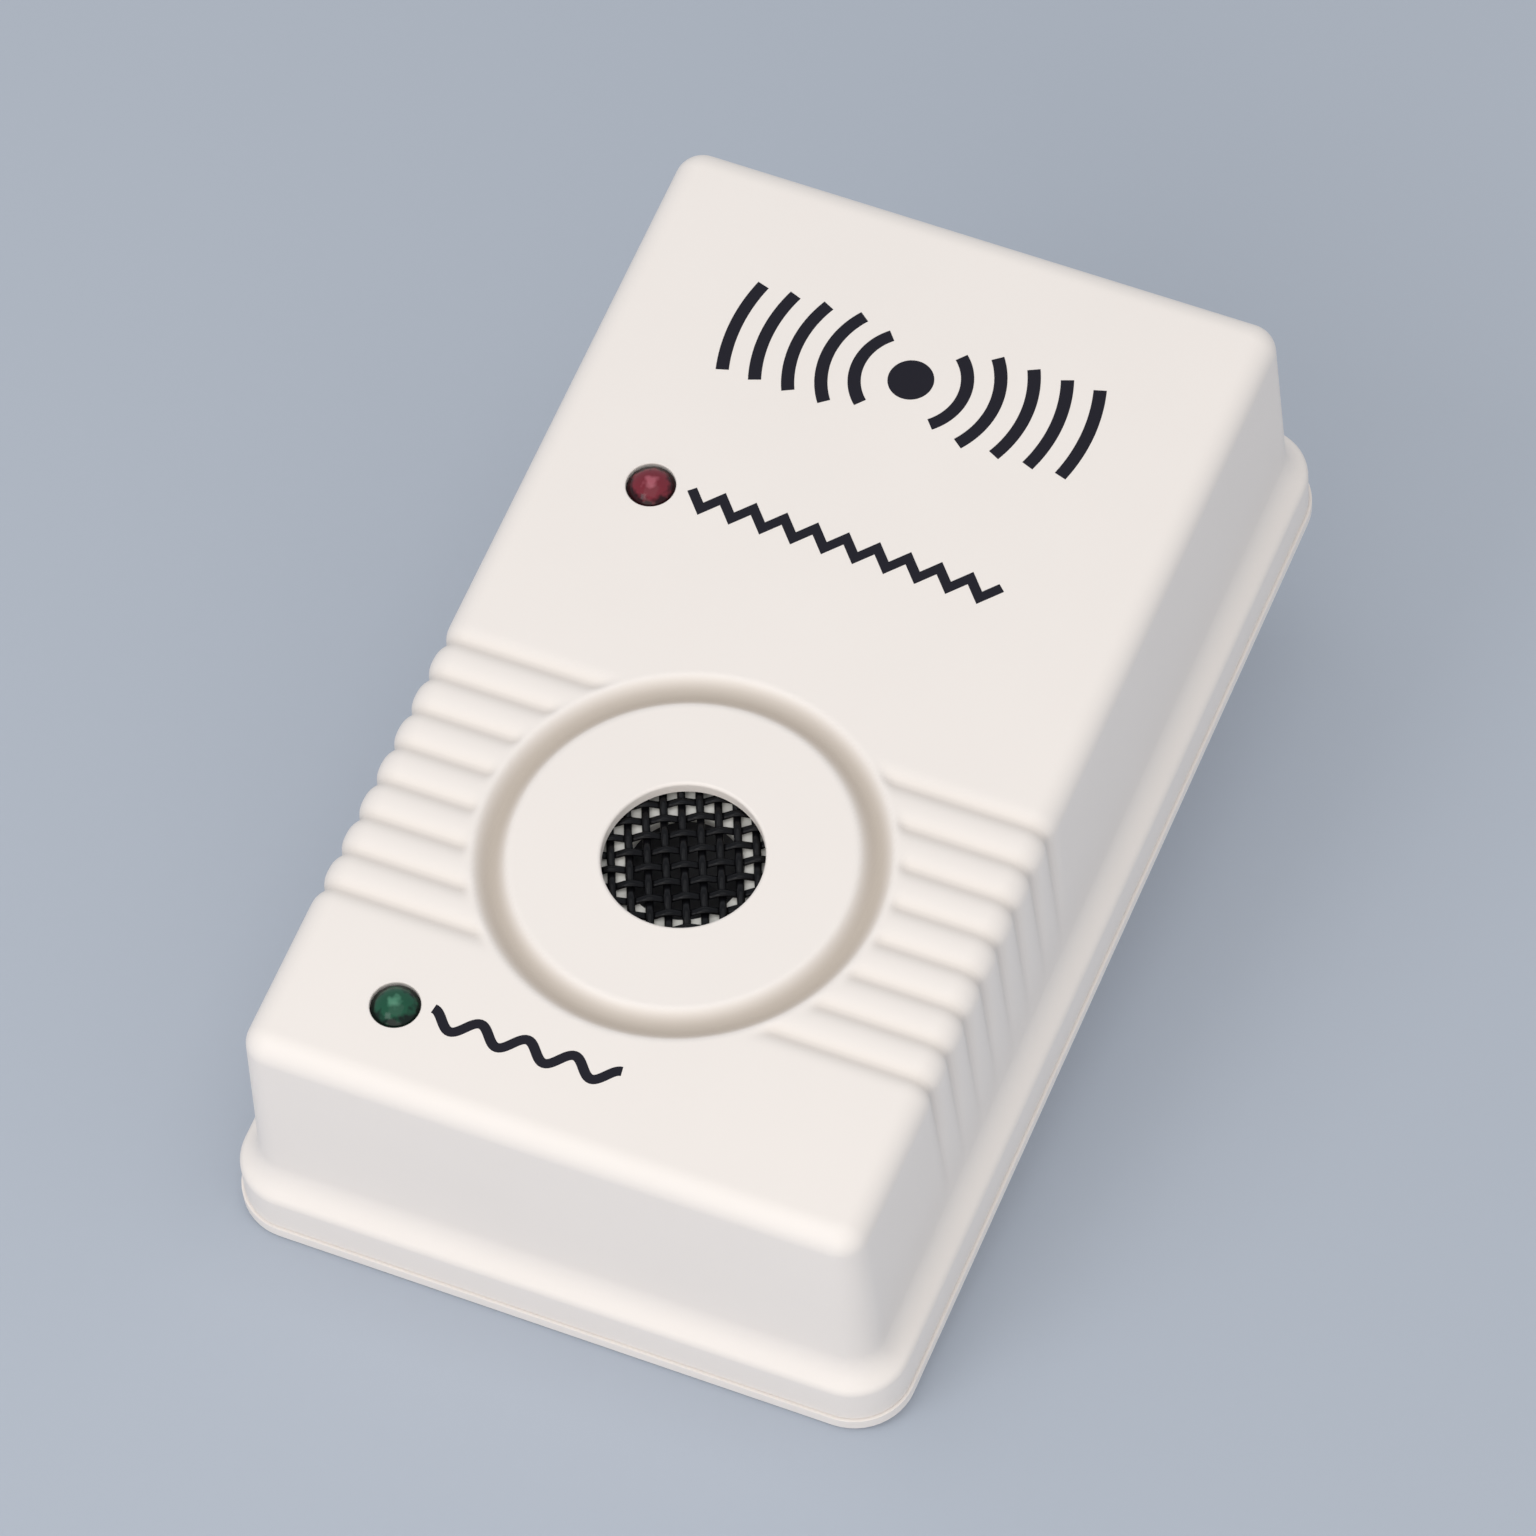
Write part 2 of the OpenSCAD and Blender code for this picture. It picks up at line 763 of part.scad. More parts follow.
module mesh_gasket() {
    color("whitesmoke")
        stood_up()
            translate([0, grille_y, 0])
                difference() {
                    post(sounder_d, gasket_top - gasket_t, gasket_top);
                    post(gasket_d, gasket_top - gasket_t - over, gasket_top + over);
                }
}

module transducer_case() {
    color("#303030")
        stood_up()
            translate([0, grille_y, 0])
                rotate_extrude()
                    polygon([
                        [0, sounder_z],
                        [sounder_r, sounder_z],
                        [sounder_r, sounder_front],
                        [sounder_r - sounder_wall, sounder_front],
                        [sounder_r - sounder_wall, ledge_z],
                        [sounder_r - sounder_wall - ledge_w, ledge_z],
                        [sounder_r - sounder_wall - ledge_w, sounder_z + sounder_back],
                        [0, sounder_z + sounder_back]
                    ]);
}

module transducer_cone() {
    rim_z = ledge_z + seat;
    tip_r = cone_tip_d / 2;
    color("lightsteelblue")
        stood_up()
            translate([0, grille_y, 0])
                rotate_extrude()
                    polygon([
                        [0, cone_tip_z],
                        [tip_r, cone_tip_z],
                        [cone_mouth_r, rim_z],
                        [cone_rim_r, rim_z],
                        [cone_rim_r, rim_z + cone_t],
                        [cone_mouth_r - cone_t, rim_z + cone_t],
                        [tip_r - cone_t, cone_tip_z + cone_t],
                        [0, cone_tip_z + cone_t]
                    ]);
}

module piezo_disc() {
    color("goldenrod")
        stood_up()
            translate([0, grille_y, 0])
                post(piezo_d, cone_tip_z - seat - piezo_t, cone_tip_z - seat);
}

module transducer_pad() {
    color("slategray")
        stood_up()
            translate([0, grille_y, 0])
                post(pad_d, seat_z, sounder_z - seat);
}

module transducer_leads() {
    color("firebrick")
        stood_up()
            for (side = [-1, 1])
                translate([side * sounder_lead_pitch / 2, grille_y, 0])
                    post(lead_d, seat_z, sounder_z - seat);
}

// A round lamp with a domed lens and a collar at its base
module led(place) {
    stood_up()
        translate(place) {
            post(led_collar_d, led_base, led_base + led_collar_h);
            rotate_extrude()
                intersection() {
                    translate([0, led_base])
                        square([led_d / 2, led_len]);
                    union() {
                        translate([0, led_base])
                            square([led_d / 2, led_len - led_dome_h]);
                        translate([0, led_tip - led_dome_r])
                            circle(r = led_dome_r);
                    }
                }
        }
}

module red_led() {
    color("firebrick")
        led(leds[0]);
}

module green_led() {
    color("darkgreen")
        led(leds[1]);
}

module led_legs() {
    color("silver")
        stood_up()
            for (place = leds, side = [-1, 1])
                translate([place[0] + side * leg_pitch / 2, place[1], 0])
                    post(leg_d, seat_z, led_base - seat);
}

module circuit_board() {
    color("peru")
        stood_up()
            difference() {
                union() {
                    translate([-board_w / 2, -board_l / 2, board_z])
                        cube([board_w, board_l, board_t]);
                    translate([-tongue_w / 2, -board_l / 2 - tongue_l, board_z])
                        cube([tongue_w, tongue_l + over, board_t]);
                }
                for (place = posts)
                    translate(place)
                        post(board_screw_d + 2 * screw_slip, board_z - over, board_top + over);
            }
}

module board_screws() {
    color("darkgray")
        stood_up()
            for (place = posts)
                translate(place)
                    difference() {
                        union() {
                            post(board_head_d, board_z - seat - board_head_h, board_z - seat);
                            post(
                                board_screw_d,
                                board_z - seat - board_head_h / 2,
                                seat_z + board_screw_grip
                            );
                        }
                        translate([0, 0, board_z - seat - board_head_h])
                            cube([board_head_d + over, slot_w, 2 * slot_depth], center = true);
                    }
}

// Cylinder lying across the board, along x, about the coil's axis
module coil_round(d, l) {
    translate([0, coil_y, coil_z])
        rotate([0, 90, 0])
            cylinder(h = l, d = d, center = true);
}

module coil_bobbin() {
    tube_d = core_d + 2 * (slip + bobbin_wall);
    flange_x = (bobbin_l - bobbin_flange_t) / 2;
    color("whitesmoke")
        stood_up()
            difference() {
                union() {
                    coil_round(tube_d, bobbin_l);
                    for (side = [-1, 1])
                        translate([side * flange_x, 0, 0]) {
                            coil_round(bobbin_d, bobbin_flange_t);
                            translate([-bobbin_flange_t / 2, coil_y - bobbin_foot_w / 2, seat_z])
                                cube([bobbin_flange_t, bobbin_foot_w, bobbin_d / 2]);
                        }
                }
                coil_round(core_d + 2 * slip, bobbin_l + 2 * over);
            }
}

module coil_winding() {
    inner_d = core_d + 2 * (slip + bobbin_wall + seat);
    outer_d = bobbin_d - 2 * winding_in;
    winding_l = bobbin_l - 2 * (bobbin_flange_t + seat);
    color("chocolate")
        stood_up()
            difference() {
                coil_round(outer_d, winding_l);
                coil_round(inner_d, winding_l + 2 * over);
            }
}

module coil_core() {
    color("dimgray")
        stood_up()
            coil_round(core_d, core_l);
}

module film_capacitor() {
    color("darkgoldenrod")
        stood_up()
            translate([film_x, can_y, 0])
                round_block(film_w, film_depth, part_gap / 2, seat_z, seat_z + film_h);
}

module smoothing_capacitor() {
    crimp_r = over / 2;
    color("midnightblue")
        stood_up()
            translate([can_x, can_y, 0])
                difference() {
                    post(can_d, seat_z, seat_z + can_h);
                    translate([0, 0, seat_z + can_d / 5])
                        rotate_extrude()
                            translate([can_d / 2, 0])
                                circle(crimp_r);
                }
}

module timer_chip() {
    notch_d = chip_w / 4;
    color("#202020")
        stood_up()
            translate([chip_x, chip_y, 0])
                difference() {
                    translate([-chip_l / 2, -chip_w / 2, seat_z + chip_lift])
                        cube([chip_l, chip_w, chip_t]);
                    translate([-chip_l / 2, 0, 0])
                        post(
                            notch_d,
                            seat_z + chip_lift + chip_t - over,
                            seat_z + chip_lift + chip_t + over
                        );
                }
}

module chip_pins() {
    color("silver")
        stood_up()
            for (side = [-1, 1], i = [0:chip_pin_count - 1])
                translate([
                    chip_x + (i - (chip_pin_count - 1) / 2) * chip_pin_pitch - chip_pin_w / 2,
                    chip_y + side * (chip_w / 2 + seat + chip_pin_t / 2) - chip_pin_t / 2,
                    seat_z
                ])
                    cube([chip_pin_w, chip_pin_t, chip_lift + chip_t / 2]);
}

module driver_transistors() {
    color("#202020")
        stood_up()
            for (i = [-1, 1])
                translate([transistor_x, chip_y + i * (transistor_depth + part_gap) / 2, 0])
                    intersection() {
                        post(transistor_d, seat_z, seat_z + transistor_h);
                        translate([-transistor_d, transistor_d / 2 - transistor_depth, seat_z - over])
                            cube([2 * transistor_d, transistor_d, transistor_h + 2 * over]);
                    }
}

// Round component lying along y with its underside on the board
module lying(d, l) {
    translate([0, 0, seat_z + d / 2])
        rotate([90, 0, 0])
            cylinder(h = l, d = d, center = true);
}

module rectifier_diodes() {
    color("#202020")
        stood_up()
            for (i = [0:diode_count - 1])
                translate([chip_x + i * diode_pitch, diode_y, 0])
                    lying(diode_d, diode_l);
}

module resistors() {
    color("tan")
        stood_up()
            for (i = [0:resistor_count - 1])
                translate([resistor_pitch / 2 - board_w / 2 + i * resistor_pitch, diode_y, 0])
                    lying(resistor_d, resistor_l);
}

module fuse() {
    color("gainsboro")
        stood_up()
            translate([fuse_x, can_y, 0]) {
                translate([0, 0, fuse_cap_step])
                    lying(fuse_d - 2 * fuse_cap_step, fuse_l - over);
                for (side = [-1, 1])
                    translate([0, side * (fuse_l - fuse_cap_l) / 2, 0])
                        lying(fuse_d, fuse_cap_l);
            }
}

// Cylinder standing on the board at the choke's place
module choke_round(d, low, high) {
    translate([choke_x, choke_y, 0])
        post(d, seat_z + low, seat_z + high);
}

module choke_core() {
    color("dimgray")
        stood_up() {
            choke_round(choke_d, 0, choke_flange_t);
            choke_round(choke_waist_d, choke_flange_t, choke_h - choke_flange_t);
            choke_round(choke_d, choke_h - choke_flange_t, choke_h);
        }
}

module choke_winding() {
    inner_d = choke_waist_d + 2 * seat;
    low = choke_flange_t + seat;
    high = choke_h - choke_flange_t - seat;
    color("chocolate")
        stood_up()
            difference() {
                choke_round(inner_d + 2 * choke_winding_t, low, high);
                choke_round(inner_d, low - over, high + over);
            }
}

// A mains lead from a blade's tail up to the back of the board
module mains_lead(side) {
    x = side * blade_pitch / 2;
    start = [x, plug_y, tail_top + seat];
    low_bend = [x, plug_y, lead_z];
    high_bend = [x, plug_y + lead_run, lead_z];
    end = [x, plug_y + lead_run, board_z - seat];
    stood_up() {
        bar(start, low_bend, lead_d);
        bar(low_bend, high_bend, lead_d);
        bar(high_bend, end, lead_d);
        for (bend = [low_bend, high_bend])
            translate(bend)
                sphere(d = lead_d);
    }
}

module live_lead() {
    color("saddlebrown")
        mains_lead(1);
}

module neutral_lead() {
    color("royalblue")
        mains_lead(-1);
}

front_housing();
back_cover();
plug_insert();
plug_blade_left();
plug_blade_right();
case_screws();
grille_mesh();
mesh_gasket();
transducer_case();
transducer_cone();
piezo_disc();
transducer_pad();
transducer_leads();
red_led();
green_led();
led_legs();
circuit_board();
board_screws();
coil_bobbin();
coil_winding();
coil_core();
film_capacitor();
smoothing_capacitor();
timer_chip();
chip_pins();
driver_transistors();
rectifier_diodes();
resistors();
fuse();
choke_core();
choke_winding();
live_lead();
neutral_lead();
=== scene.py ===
"""Dresses a plug-in pest repeller for a studio picture of it lying on a pale ground."""

import logging
import math
from dataclasses import dataclass
from enum import Enum
from typing import Iterator, Sequence

import bmesh
import bpy
from mathutils import Matrix, Vector


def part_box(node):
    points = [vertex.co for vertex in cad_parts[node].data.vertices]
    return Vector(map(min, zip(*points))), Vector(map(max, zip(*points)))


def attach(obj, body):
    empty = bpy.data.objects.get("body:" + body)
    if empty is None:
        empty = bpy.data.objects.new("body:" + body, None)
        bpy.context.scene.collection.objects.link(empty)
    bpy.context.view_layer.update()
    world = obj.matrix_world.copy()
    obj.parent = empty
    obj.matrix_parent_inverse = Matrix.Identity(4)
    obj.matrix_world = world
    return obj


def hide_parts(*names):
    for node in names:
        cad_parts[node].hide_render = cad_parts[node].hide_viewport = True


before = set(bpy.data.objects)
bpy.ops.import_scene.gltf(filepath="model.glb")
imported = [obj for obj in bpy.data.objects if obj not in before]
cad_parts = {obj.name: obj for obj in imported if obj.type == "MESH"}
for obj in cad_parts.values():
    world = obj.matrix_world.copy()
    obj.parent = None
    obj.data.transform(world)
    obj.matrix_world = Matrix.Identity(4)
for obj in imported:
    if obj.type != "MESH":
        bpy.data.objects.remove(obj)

LOG = logging.getLogger("repeller")
MM = 0.001
# The mesh attribute that says how far down in a groove a point lies; the plastic paints shade into the
# grooves by it.
RECESS = "recess"
# The angle in degrees above which an edge shows as an edge.
SHARP = 40.0

Colour = tuple[float, float, float]
Point = tuple[float, float]
Lines = tuple[list[float], list[float]]


def shaded(colour: Colour, shade: float) -> Colour:
    """Gives a colour darkened evenly."""
    return tuple(shade * channel for channel in colour)


class Value:
    """A shader socket that takes part in arithmetic."""

    def __init__(self, graph: "Graph", socket: bpy.types.NodeSocket) -> None:
        """Keeps the socket and the graph that it belongs to."""
        self.graph = graph
        self.socket = socket

    def maths(self, operation: str, first: "Value | float", second: "Value | float") -> "Value":
        """Adds one Math node.

        Args:
            operation: The Math node's operation.
            first: Its first operand.
            second: Its second operand.

        Returns:
            The node's result.
        """
        return self.graph.node("ShaderNodeMath", {"operation": operation}, {0: first, 1: second})

    def __add__(self, other: "Value | float") -> "Value":
        """Gives self + other."""
        return self.maths("ADD", self, other)

    def __radd__(self, other: float) -> "Value":
        """Gives other + self."""
        return self.maths("ADD", other, self)

    def __sub__(self, other: "Value | float") -> "Value":
        """Gives self - other."""
        return self.maths("SUBTRACT", self, other)

    def __mul__(self, other: "Value | float") -> "Value":
        """Gives self * other."""
        return self.maths("MULTIPLY", self, other)

    def __rmul__(self, other: float) -> "Value":
        """Gives other * self."""
        return self.maths("MULTIPLY", other, self)

    def at_least(self, other: "Value | float") -> "Value":
        """Gives the larger of self and other."""
        return self.maths("MAXIMUM", self, other)


class Graph:
    """The node tree of one material or of the world."""

    def __init__(self, tree: bpy.types.NodeTree) -> None:
        """Empties the tree.

        Args:
            tree: The node tree to fill.
        """
        self.tree = tree
        tree.nodes.clear()

    def node(self, kind: str, settings: dict, inputs: dict, output: int | str = 0) -> Value:
        """Adds a node.

        Args:
            kind: The node's type.
            settings: Attributes that are set first; "stops" fills a colour ramp.
            inputs: Sockets by name or number, each with a value or a link.
            output: The output that is handed back.

        Returns:
            That output.
        """
        made = self.tree.nodes.new(kind)
        for name, setting in settings.items():
            if name == "stops":
                self.fill_ramp(made.color_ramp, setting)
            else:
                setattr(made, name, setting)
        for name, given in inputs.items():
            if isinstance(given, Value):
                self.tree.links.new(given.socket, made.inputs[name])
            else:
                made.inputs[name].default_value = given
        return Value(self, made.outputs[output]) if made.outputs else Value(self, None)

    @staticmethod
    def fill_ramp(ramp: bpy.types.ColorRamp, stops: Sequence[tuple[float, Colour]]) -> None:
        """Sets a colour ramp's stops.

        Args:
            ramp: The ramp.
            stops: Places and colours, in rising order.
        """
        while len(ramp.elements) < len(stops):
            ramp.elements.new(1.0)
        for element, (place, colour) in zip(ramp.elements, stops):
            element.position = place
            element.color = (*colour, 1.0)

    def noise(self, scale: float, detail: float = 2.0) -> Value:
        """Adds object-space noise.

        Args:
            scale: Cells to a metre.
            detail: Octaves of finer noise.

        Returns:
            The noise, from 0 to 1.
        """
        place = self.node("ShaderNodeTexCoord", {}, {}, "Object")
        return self.node("ShaderNodeTexNoise", {}, {"Vector": place, "Scale": scale, "Detail": detail})

    def blend(self, share: Value, low: "Value | Colour", high: "Value | Colour") -> Value:
        """Gives a colour between two colours, the first of them where the share is 0."""
        ends = [end if isinstance(end, Value) else (*end, 1.0) for end in (low, high)]
        return self.node("ShaderNodeMix", {"data_type": "RGBA"}, {0: share, 6: ends[0], 7: ends[1]}, 2)

    def bump(self, height: Value, distance: float, strength: float) -> Value:
        """Gives a normal roughened by a height, where distance is that height's size in metres."""
        inputs = {"Height": height, "Distance": distance, "Strength": strength}
        return self.node("ShaderNodeBump", {}, inputs)

    def surface(self, shader: Value) -> None:
        """Links a shader to the material's output."""
        self.node("ShaderNodeOutputMaterial", {}, {"Surface": shader})


def new_material(name: str) -> tuple[bpy.types.Material, Graph]:
    """Makes an empty node material.

    Args:
        name: The material's name.

    Returns:
        The material and its graph.
    """
    material = bpy.data.materials.new(name)
    material.use_nodes = True
    return material, Graph(material.node_tree)


@dataclass(frozen=True)
class MouldedPlastic:
    """Moulded plastic with a fine satin grain, faint clouds of tone, and shade painted into its grooves."""

    name: str
    colour: Colour
    roughness: float = 0.45
    swing: float = 0.1
    shade: float = 0.965
    grain_cells: float = 5500.0
    grain_height: float = 0.00002
    grain_strength: float = 0.12
    cloud_cells: float = 60.0
    cloud_detail: float = 3.0
    # The colour that the plastic is darkened by deep in a groove: painted shade.
    painted_groove_shade: Colour = (0.60, 0.56, 0.505)
    ior: float = 1.46
    specular: float = 0.5

    def material(self) -> bpy.types.Material:
        """Builds the material, with shade painted into the grooves where a mesh marks a recess.

        Returns:
            The material.
        """
        material, graph = new_material(self.name)
        clouds = graph.noise(self.cloud_cells, self.cloud_detail)
        grain = graph.noise(self.grain_cells)
        darker = shaded(self.colour, self.shade)
        # Painted shade: the plastic's colour darkened where the recess mark says a point lies in a groove.
        groove_shade_colour = tuple(share * channel for share, channel in zip(self.painted_groove_shade, self.colour))
        recess = graph.node("ShaderNodeAttribute", {"attribute_name": RECESS}, {}, "Fac")
        inputs = {
            "Base Color": graph.blend(recess, graph.blend(clouds, darker, self.colour), groove_shade_colour),
            "Roughness": self.roughness - self.swing / 2 + self.swing * grain,
            "Normal": graph.bump(grain, self.grain_height, self.grain_strength),
            "IOR": self.ior,
            "Specular IOR Level": self.specular,
        }
        graph.surface(graph.node("ShaderNodeBsdfPrincipled", {}, inputs))
        return material


@dataclass(frozen=True)
class Metal:
    """Plain or plated metal with faint drawn streaks."""

    name: str
    colour: Colour
    roughness: float = 0.3
    metallic: float = 1.0
    swing: float = 0.12
    shade: float = 0.9
    streak_cells: float = 900.0
    streak_detail: float = 3.0
    specular: float = 0.5

    def material(self) -> bpy.types.Material:
        """Builds the material.

        Returns:
            The material.
        """
        material, graph = new_material(self.name)
        streaks = graph.noise(self.streak_cells, self.streak_detail)
        darker = shaded(self.colour, self.shade)
        inputs = {
            "Base Color": graph.blend(streaks, darker, self.colour),
            "Roughness": self.roughness - self.swing / 2 + self.swing * streaks,
            "Metallic": self.metallic,
            "Specular IOR Level": self.specular,
        }
        graph.surface(graph.node("ShaderNodeBsdfPrincipled", {}, inputs))
        return material


@dataclass(frozen=True)
class TintedLens:
    """Tinted lamp resin, with a painted glint in its middle and painted shade towards its edge."""

    name: str
    rim_shade: Colour
    body: Colour
    glint: Colour
    centre: Vector
    radius: float
    stops: Sequence[float] = (0.1, 0.35, 0.65, 0.85)
    across: tuple[float, float, float] = (1.0, 0.0, 1.0)
    facet_cells: float = 1300.0
    facet_detail: float = 1.0
    facet_share: float = 0.6
    roughness: float = 0.15
    specular: float = 0.25

    def material(self) -> bpy.types.Material:
        """Builds the material.

        Returns:
            The material.
        """
        material, graph = new_material(self.name)
        place = graph.node("ShaderNodeTexCoord", {}, {}, "Object")
        offset = graph.node(
            "ShaderNodeVectorMath", {"operation": "SUBTRACT"}, {0: place, 1: tuple(self.centre)}
        )
        flat = graph.node("ShaderNodeVectorMath", {"operation": "MULTIPLY"}, {0: offset, 1: self.across})
        reach = graph.node("ShaderNodeVectorMath", {"operation": "LENGTH"}, {0: flat}, "Value")
        facets = graph.noise(self.facet_cells, self.facet_detail)
        share = reach * (1.0 / self.radius) + self.facet_share * (facets - 0.5)
        # The ramp paints a glint in the middle and shade towards the edge over the resin's own colour.
        stops = list(zip(self.stops, (self.glint, self.body, self.body, self.rim_shade)))
        inputs = {
            "Base Color": graph.node("ShaderNodeValToRGB", {"stops": stops}, {"Fac": share}),
            "Roughness": self.roughness,
            "Specular IOR Level": self.specular,
        }
        graph.surface(graph.node("ShaderNodeBsdfPrincipled", {}, inputs))
        return material


class Shape:
    """A mesh being modelled lying down: millimetres, y up the case, z out of the wall."""

    def __init__(self) -> None:
        """Starts with nothing."""
        self.bm = bmesh.new()

    def revolve(self, profile: Sequence[Point], at: Point, steps: int) -> "Shape":
        """Spins a profile about an upright axis.

        Args:
            profile: Points as radius and height, from the axis round to the axis.
            at: Where the axis stands.
            steps: Steps in the full turn.

        Returns:
            The shape itself.
        """
        points = [self.bm.verts.new((at[0] + r, at[1], z)) for r, z in profile]
        edges = [self.bm.edges.new(pair) for pair in zip(points, points[1:])]
        bmesh.ops.spin(
            self.bm, geom=points + edges, cent=(at[0], at[1], 0.0), axis=(0.0, 0.0, 1.0),
            angle=2 * math.pi, steps=steps, use_merge=True,
        )
        return self

    def sweep(self, section: Sequence[Vector], moves: Sequence[Matrix]) -> None:
        """Draws a closed section along a path.

        Args:
            section: The section's points, where the path starts.
            moves: The motion of the section's end from each station to the next.
        """
        end = self.bm.faces.new([self.bm.verts.new(point) for point in section])
        for move in moves:
            end = self.pull(end)
            bmesh.ops.transform(self.bm, matrix=move, verts=end.verts)

    def pull(self, face: bmesh.types.BMFace) -> bmesh.types.BMFace:
        """Extrudes one face where it is.

        Args:
            face: The face, which stays only where it closes the shape's other end.

        Returns:
            The new end face.
        """
        joined = any(len(edge.link_faces) > 1 for edge in face.edges)
        made = bmesh.ops.extrude_face_region(self.bm, geom=[face])["geom"]
        if joined:
            self.bm.faces.remove(face)
        return next(item for item in made if isinstance(item, bmesh.types.BMFace))

    def post(self, at: Point, radius: float, low: float, high: float, steps: int) -> None:
        """Adds an upright cylinder.

        Args:
            at: Where it stands.
            radius: Its radius.
            low: The level of its foot.
            high: The level of its top.
            steps: Steps in the full turn.
        """
        place = Matrix.Translation((at[0], at[1], (low + high) / 2))
        bmesh.ops.create_cone(
            self.bm, cap_ends=True, segments=steps, radius1=radius, radius2=radius,
            depth=high - low, matrix=place,
        )

    def cleaned(self, reach: float = 0.001) -> "Shape":
        """Merges doubles and turns all faces outwards.

        Args:
            reach: How far apart two doubles may lie.

        Returns:
            The shape itself.
        """
        bmesh.ops.remove_doubles(self.bm, verts=self.bm.verts, dist=reach)
        bmesh.ops.recalc_face_normals(self.bm, faces=self.bm.faces)
        return self

    def to_mesh(self, name: str) -> bpy.types.Mesh:
        """Hands the shape over as a mesh, and ends it.

        Args:
            name: The mesh's name.

        Returns:
            The mesh.
        """
        mesh = bpy.data.meshes.new(name)
        self.bm.to_mesh(mesh)
        self.bm.free()
        return mesh


@dataclass(frozen=True)
class Bench:
    """The case's size in the frame, and the way from the modelling bench to its place there."""

    width: float
    length: float
    depth: float
    middle: float

    @classmethod
    def measured(cls) -> "Bench":
        """Reads the case's sizes from the frame.

        Returns:
            The bench, with its sizes in millimetres.
        """
        low, high = (Vector(corner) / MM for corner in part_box("back_cover"))
        front = Vector(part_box("front_housing")[0]) / MM
        return cls(high.x - low.x, high.z - low.z, -front.y, (low.z + high.z) / 2)

    def stand(self) -> Matrix:
        """Gives the motion from the bench, in millimetres, to the frame, in metres."""
        turn = Matrix(((1, 0, 0, 0), (0, 0, -1, 0), (0, 1, 0, self.middle), (0, 0, 0, 1)))
        return Matrix.Scale(MM, 4) @ turn

    def place(self, node: str) -> tuple[Vector, Vector]:
        """Finds where a node lies on the bench.

        Args:
            node: The node's name.

        Returns:
            Its lowest and highest corners, in millimetres.
        """
        back = self.stand().inverted()
        corners = [back @ Vector(corner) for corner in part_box(node)]
        low = Vector(min(pair) for pair in zip(*corners))
        high = Vector(max(pair) for pair in zip(*corners))
        return low, high


def carve(mesh: bpy.types.Mesh, tools: bpy.types.Mesh) -> bpy.types.Mesh:
    """Cuts one closed mesh out of another.

    Args:
        mesh: The mesh that is cut.
        tools: The cutters, none of which overlap.

    Returns:
        The cut mesh.
    """
    work = bpy.data.objects.new("work", mesh)
    cutter = bpy.data.objects.new("cutter", tools)
    for item in (work, cutter):
        bpy.context.scene.collection.objects.link(item)
    cut = work.modifiers.new("cut", "BOOLEAN")
    cut.operation = "DIFFERENCE"
    cut.solver = "EXACT"
    cut.object = cutter
    graph = bpy.context.evaluated_depsgraph_get()
    result = bpy.data.meshes.new_from_object(work.evaluated_get(graph))
    for item in (work, cutter):
        bpy.data.objects.remove(item)
    return result


def smooth_below(bm: bmesh.types.BMesh, degrees: float) -> None:
    """Shades a mesh smooth, apart from its sharp edges.

    Args:
        bm: The mesh.
        degrees: The angle between two faces from which their edge is sharp.
    """
    limit = math.radians(degrees)
    for face in bm.faces:
        face.smooth = True
    for edge in bm.edges:
        edge.smooth = len(edge.link_faces) == 2 and edge.calc_face_angle(math.pi) < limit


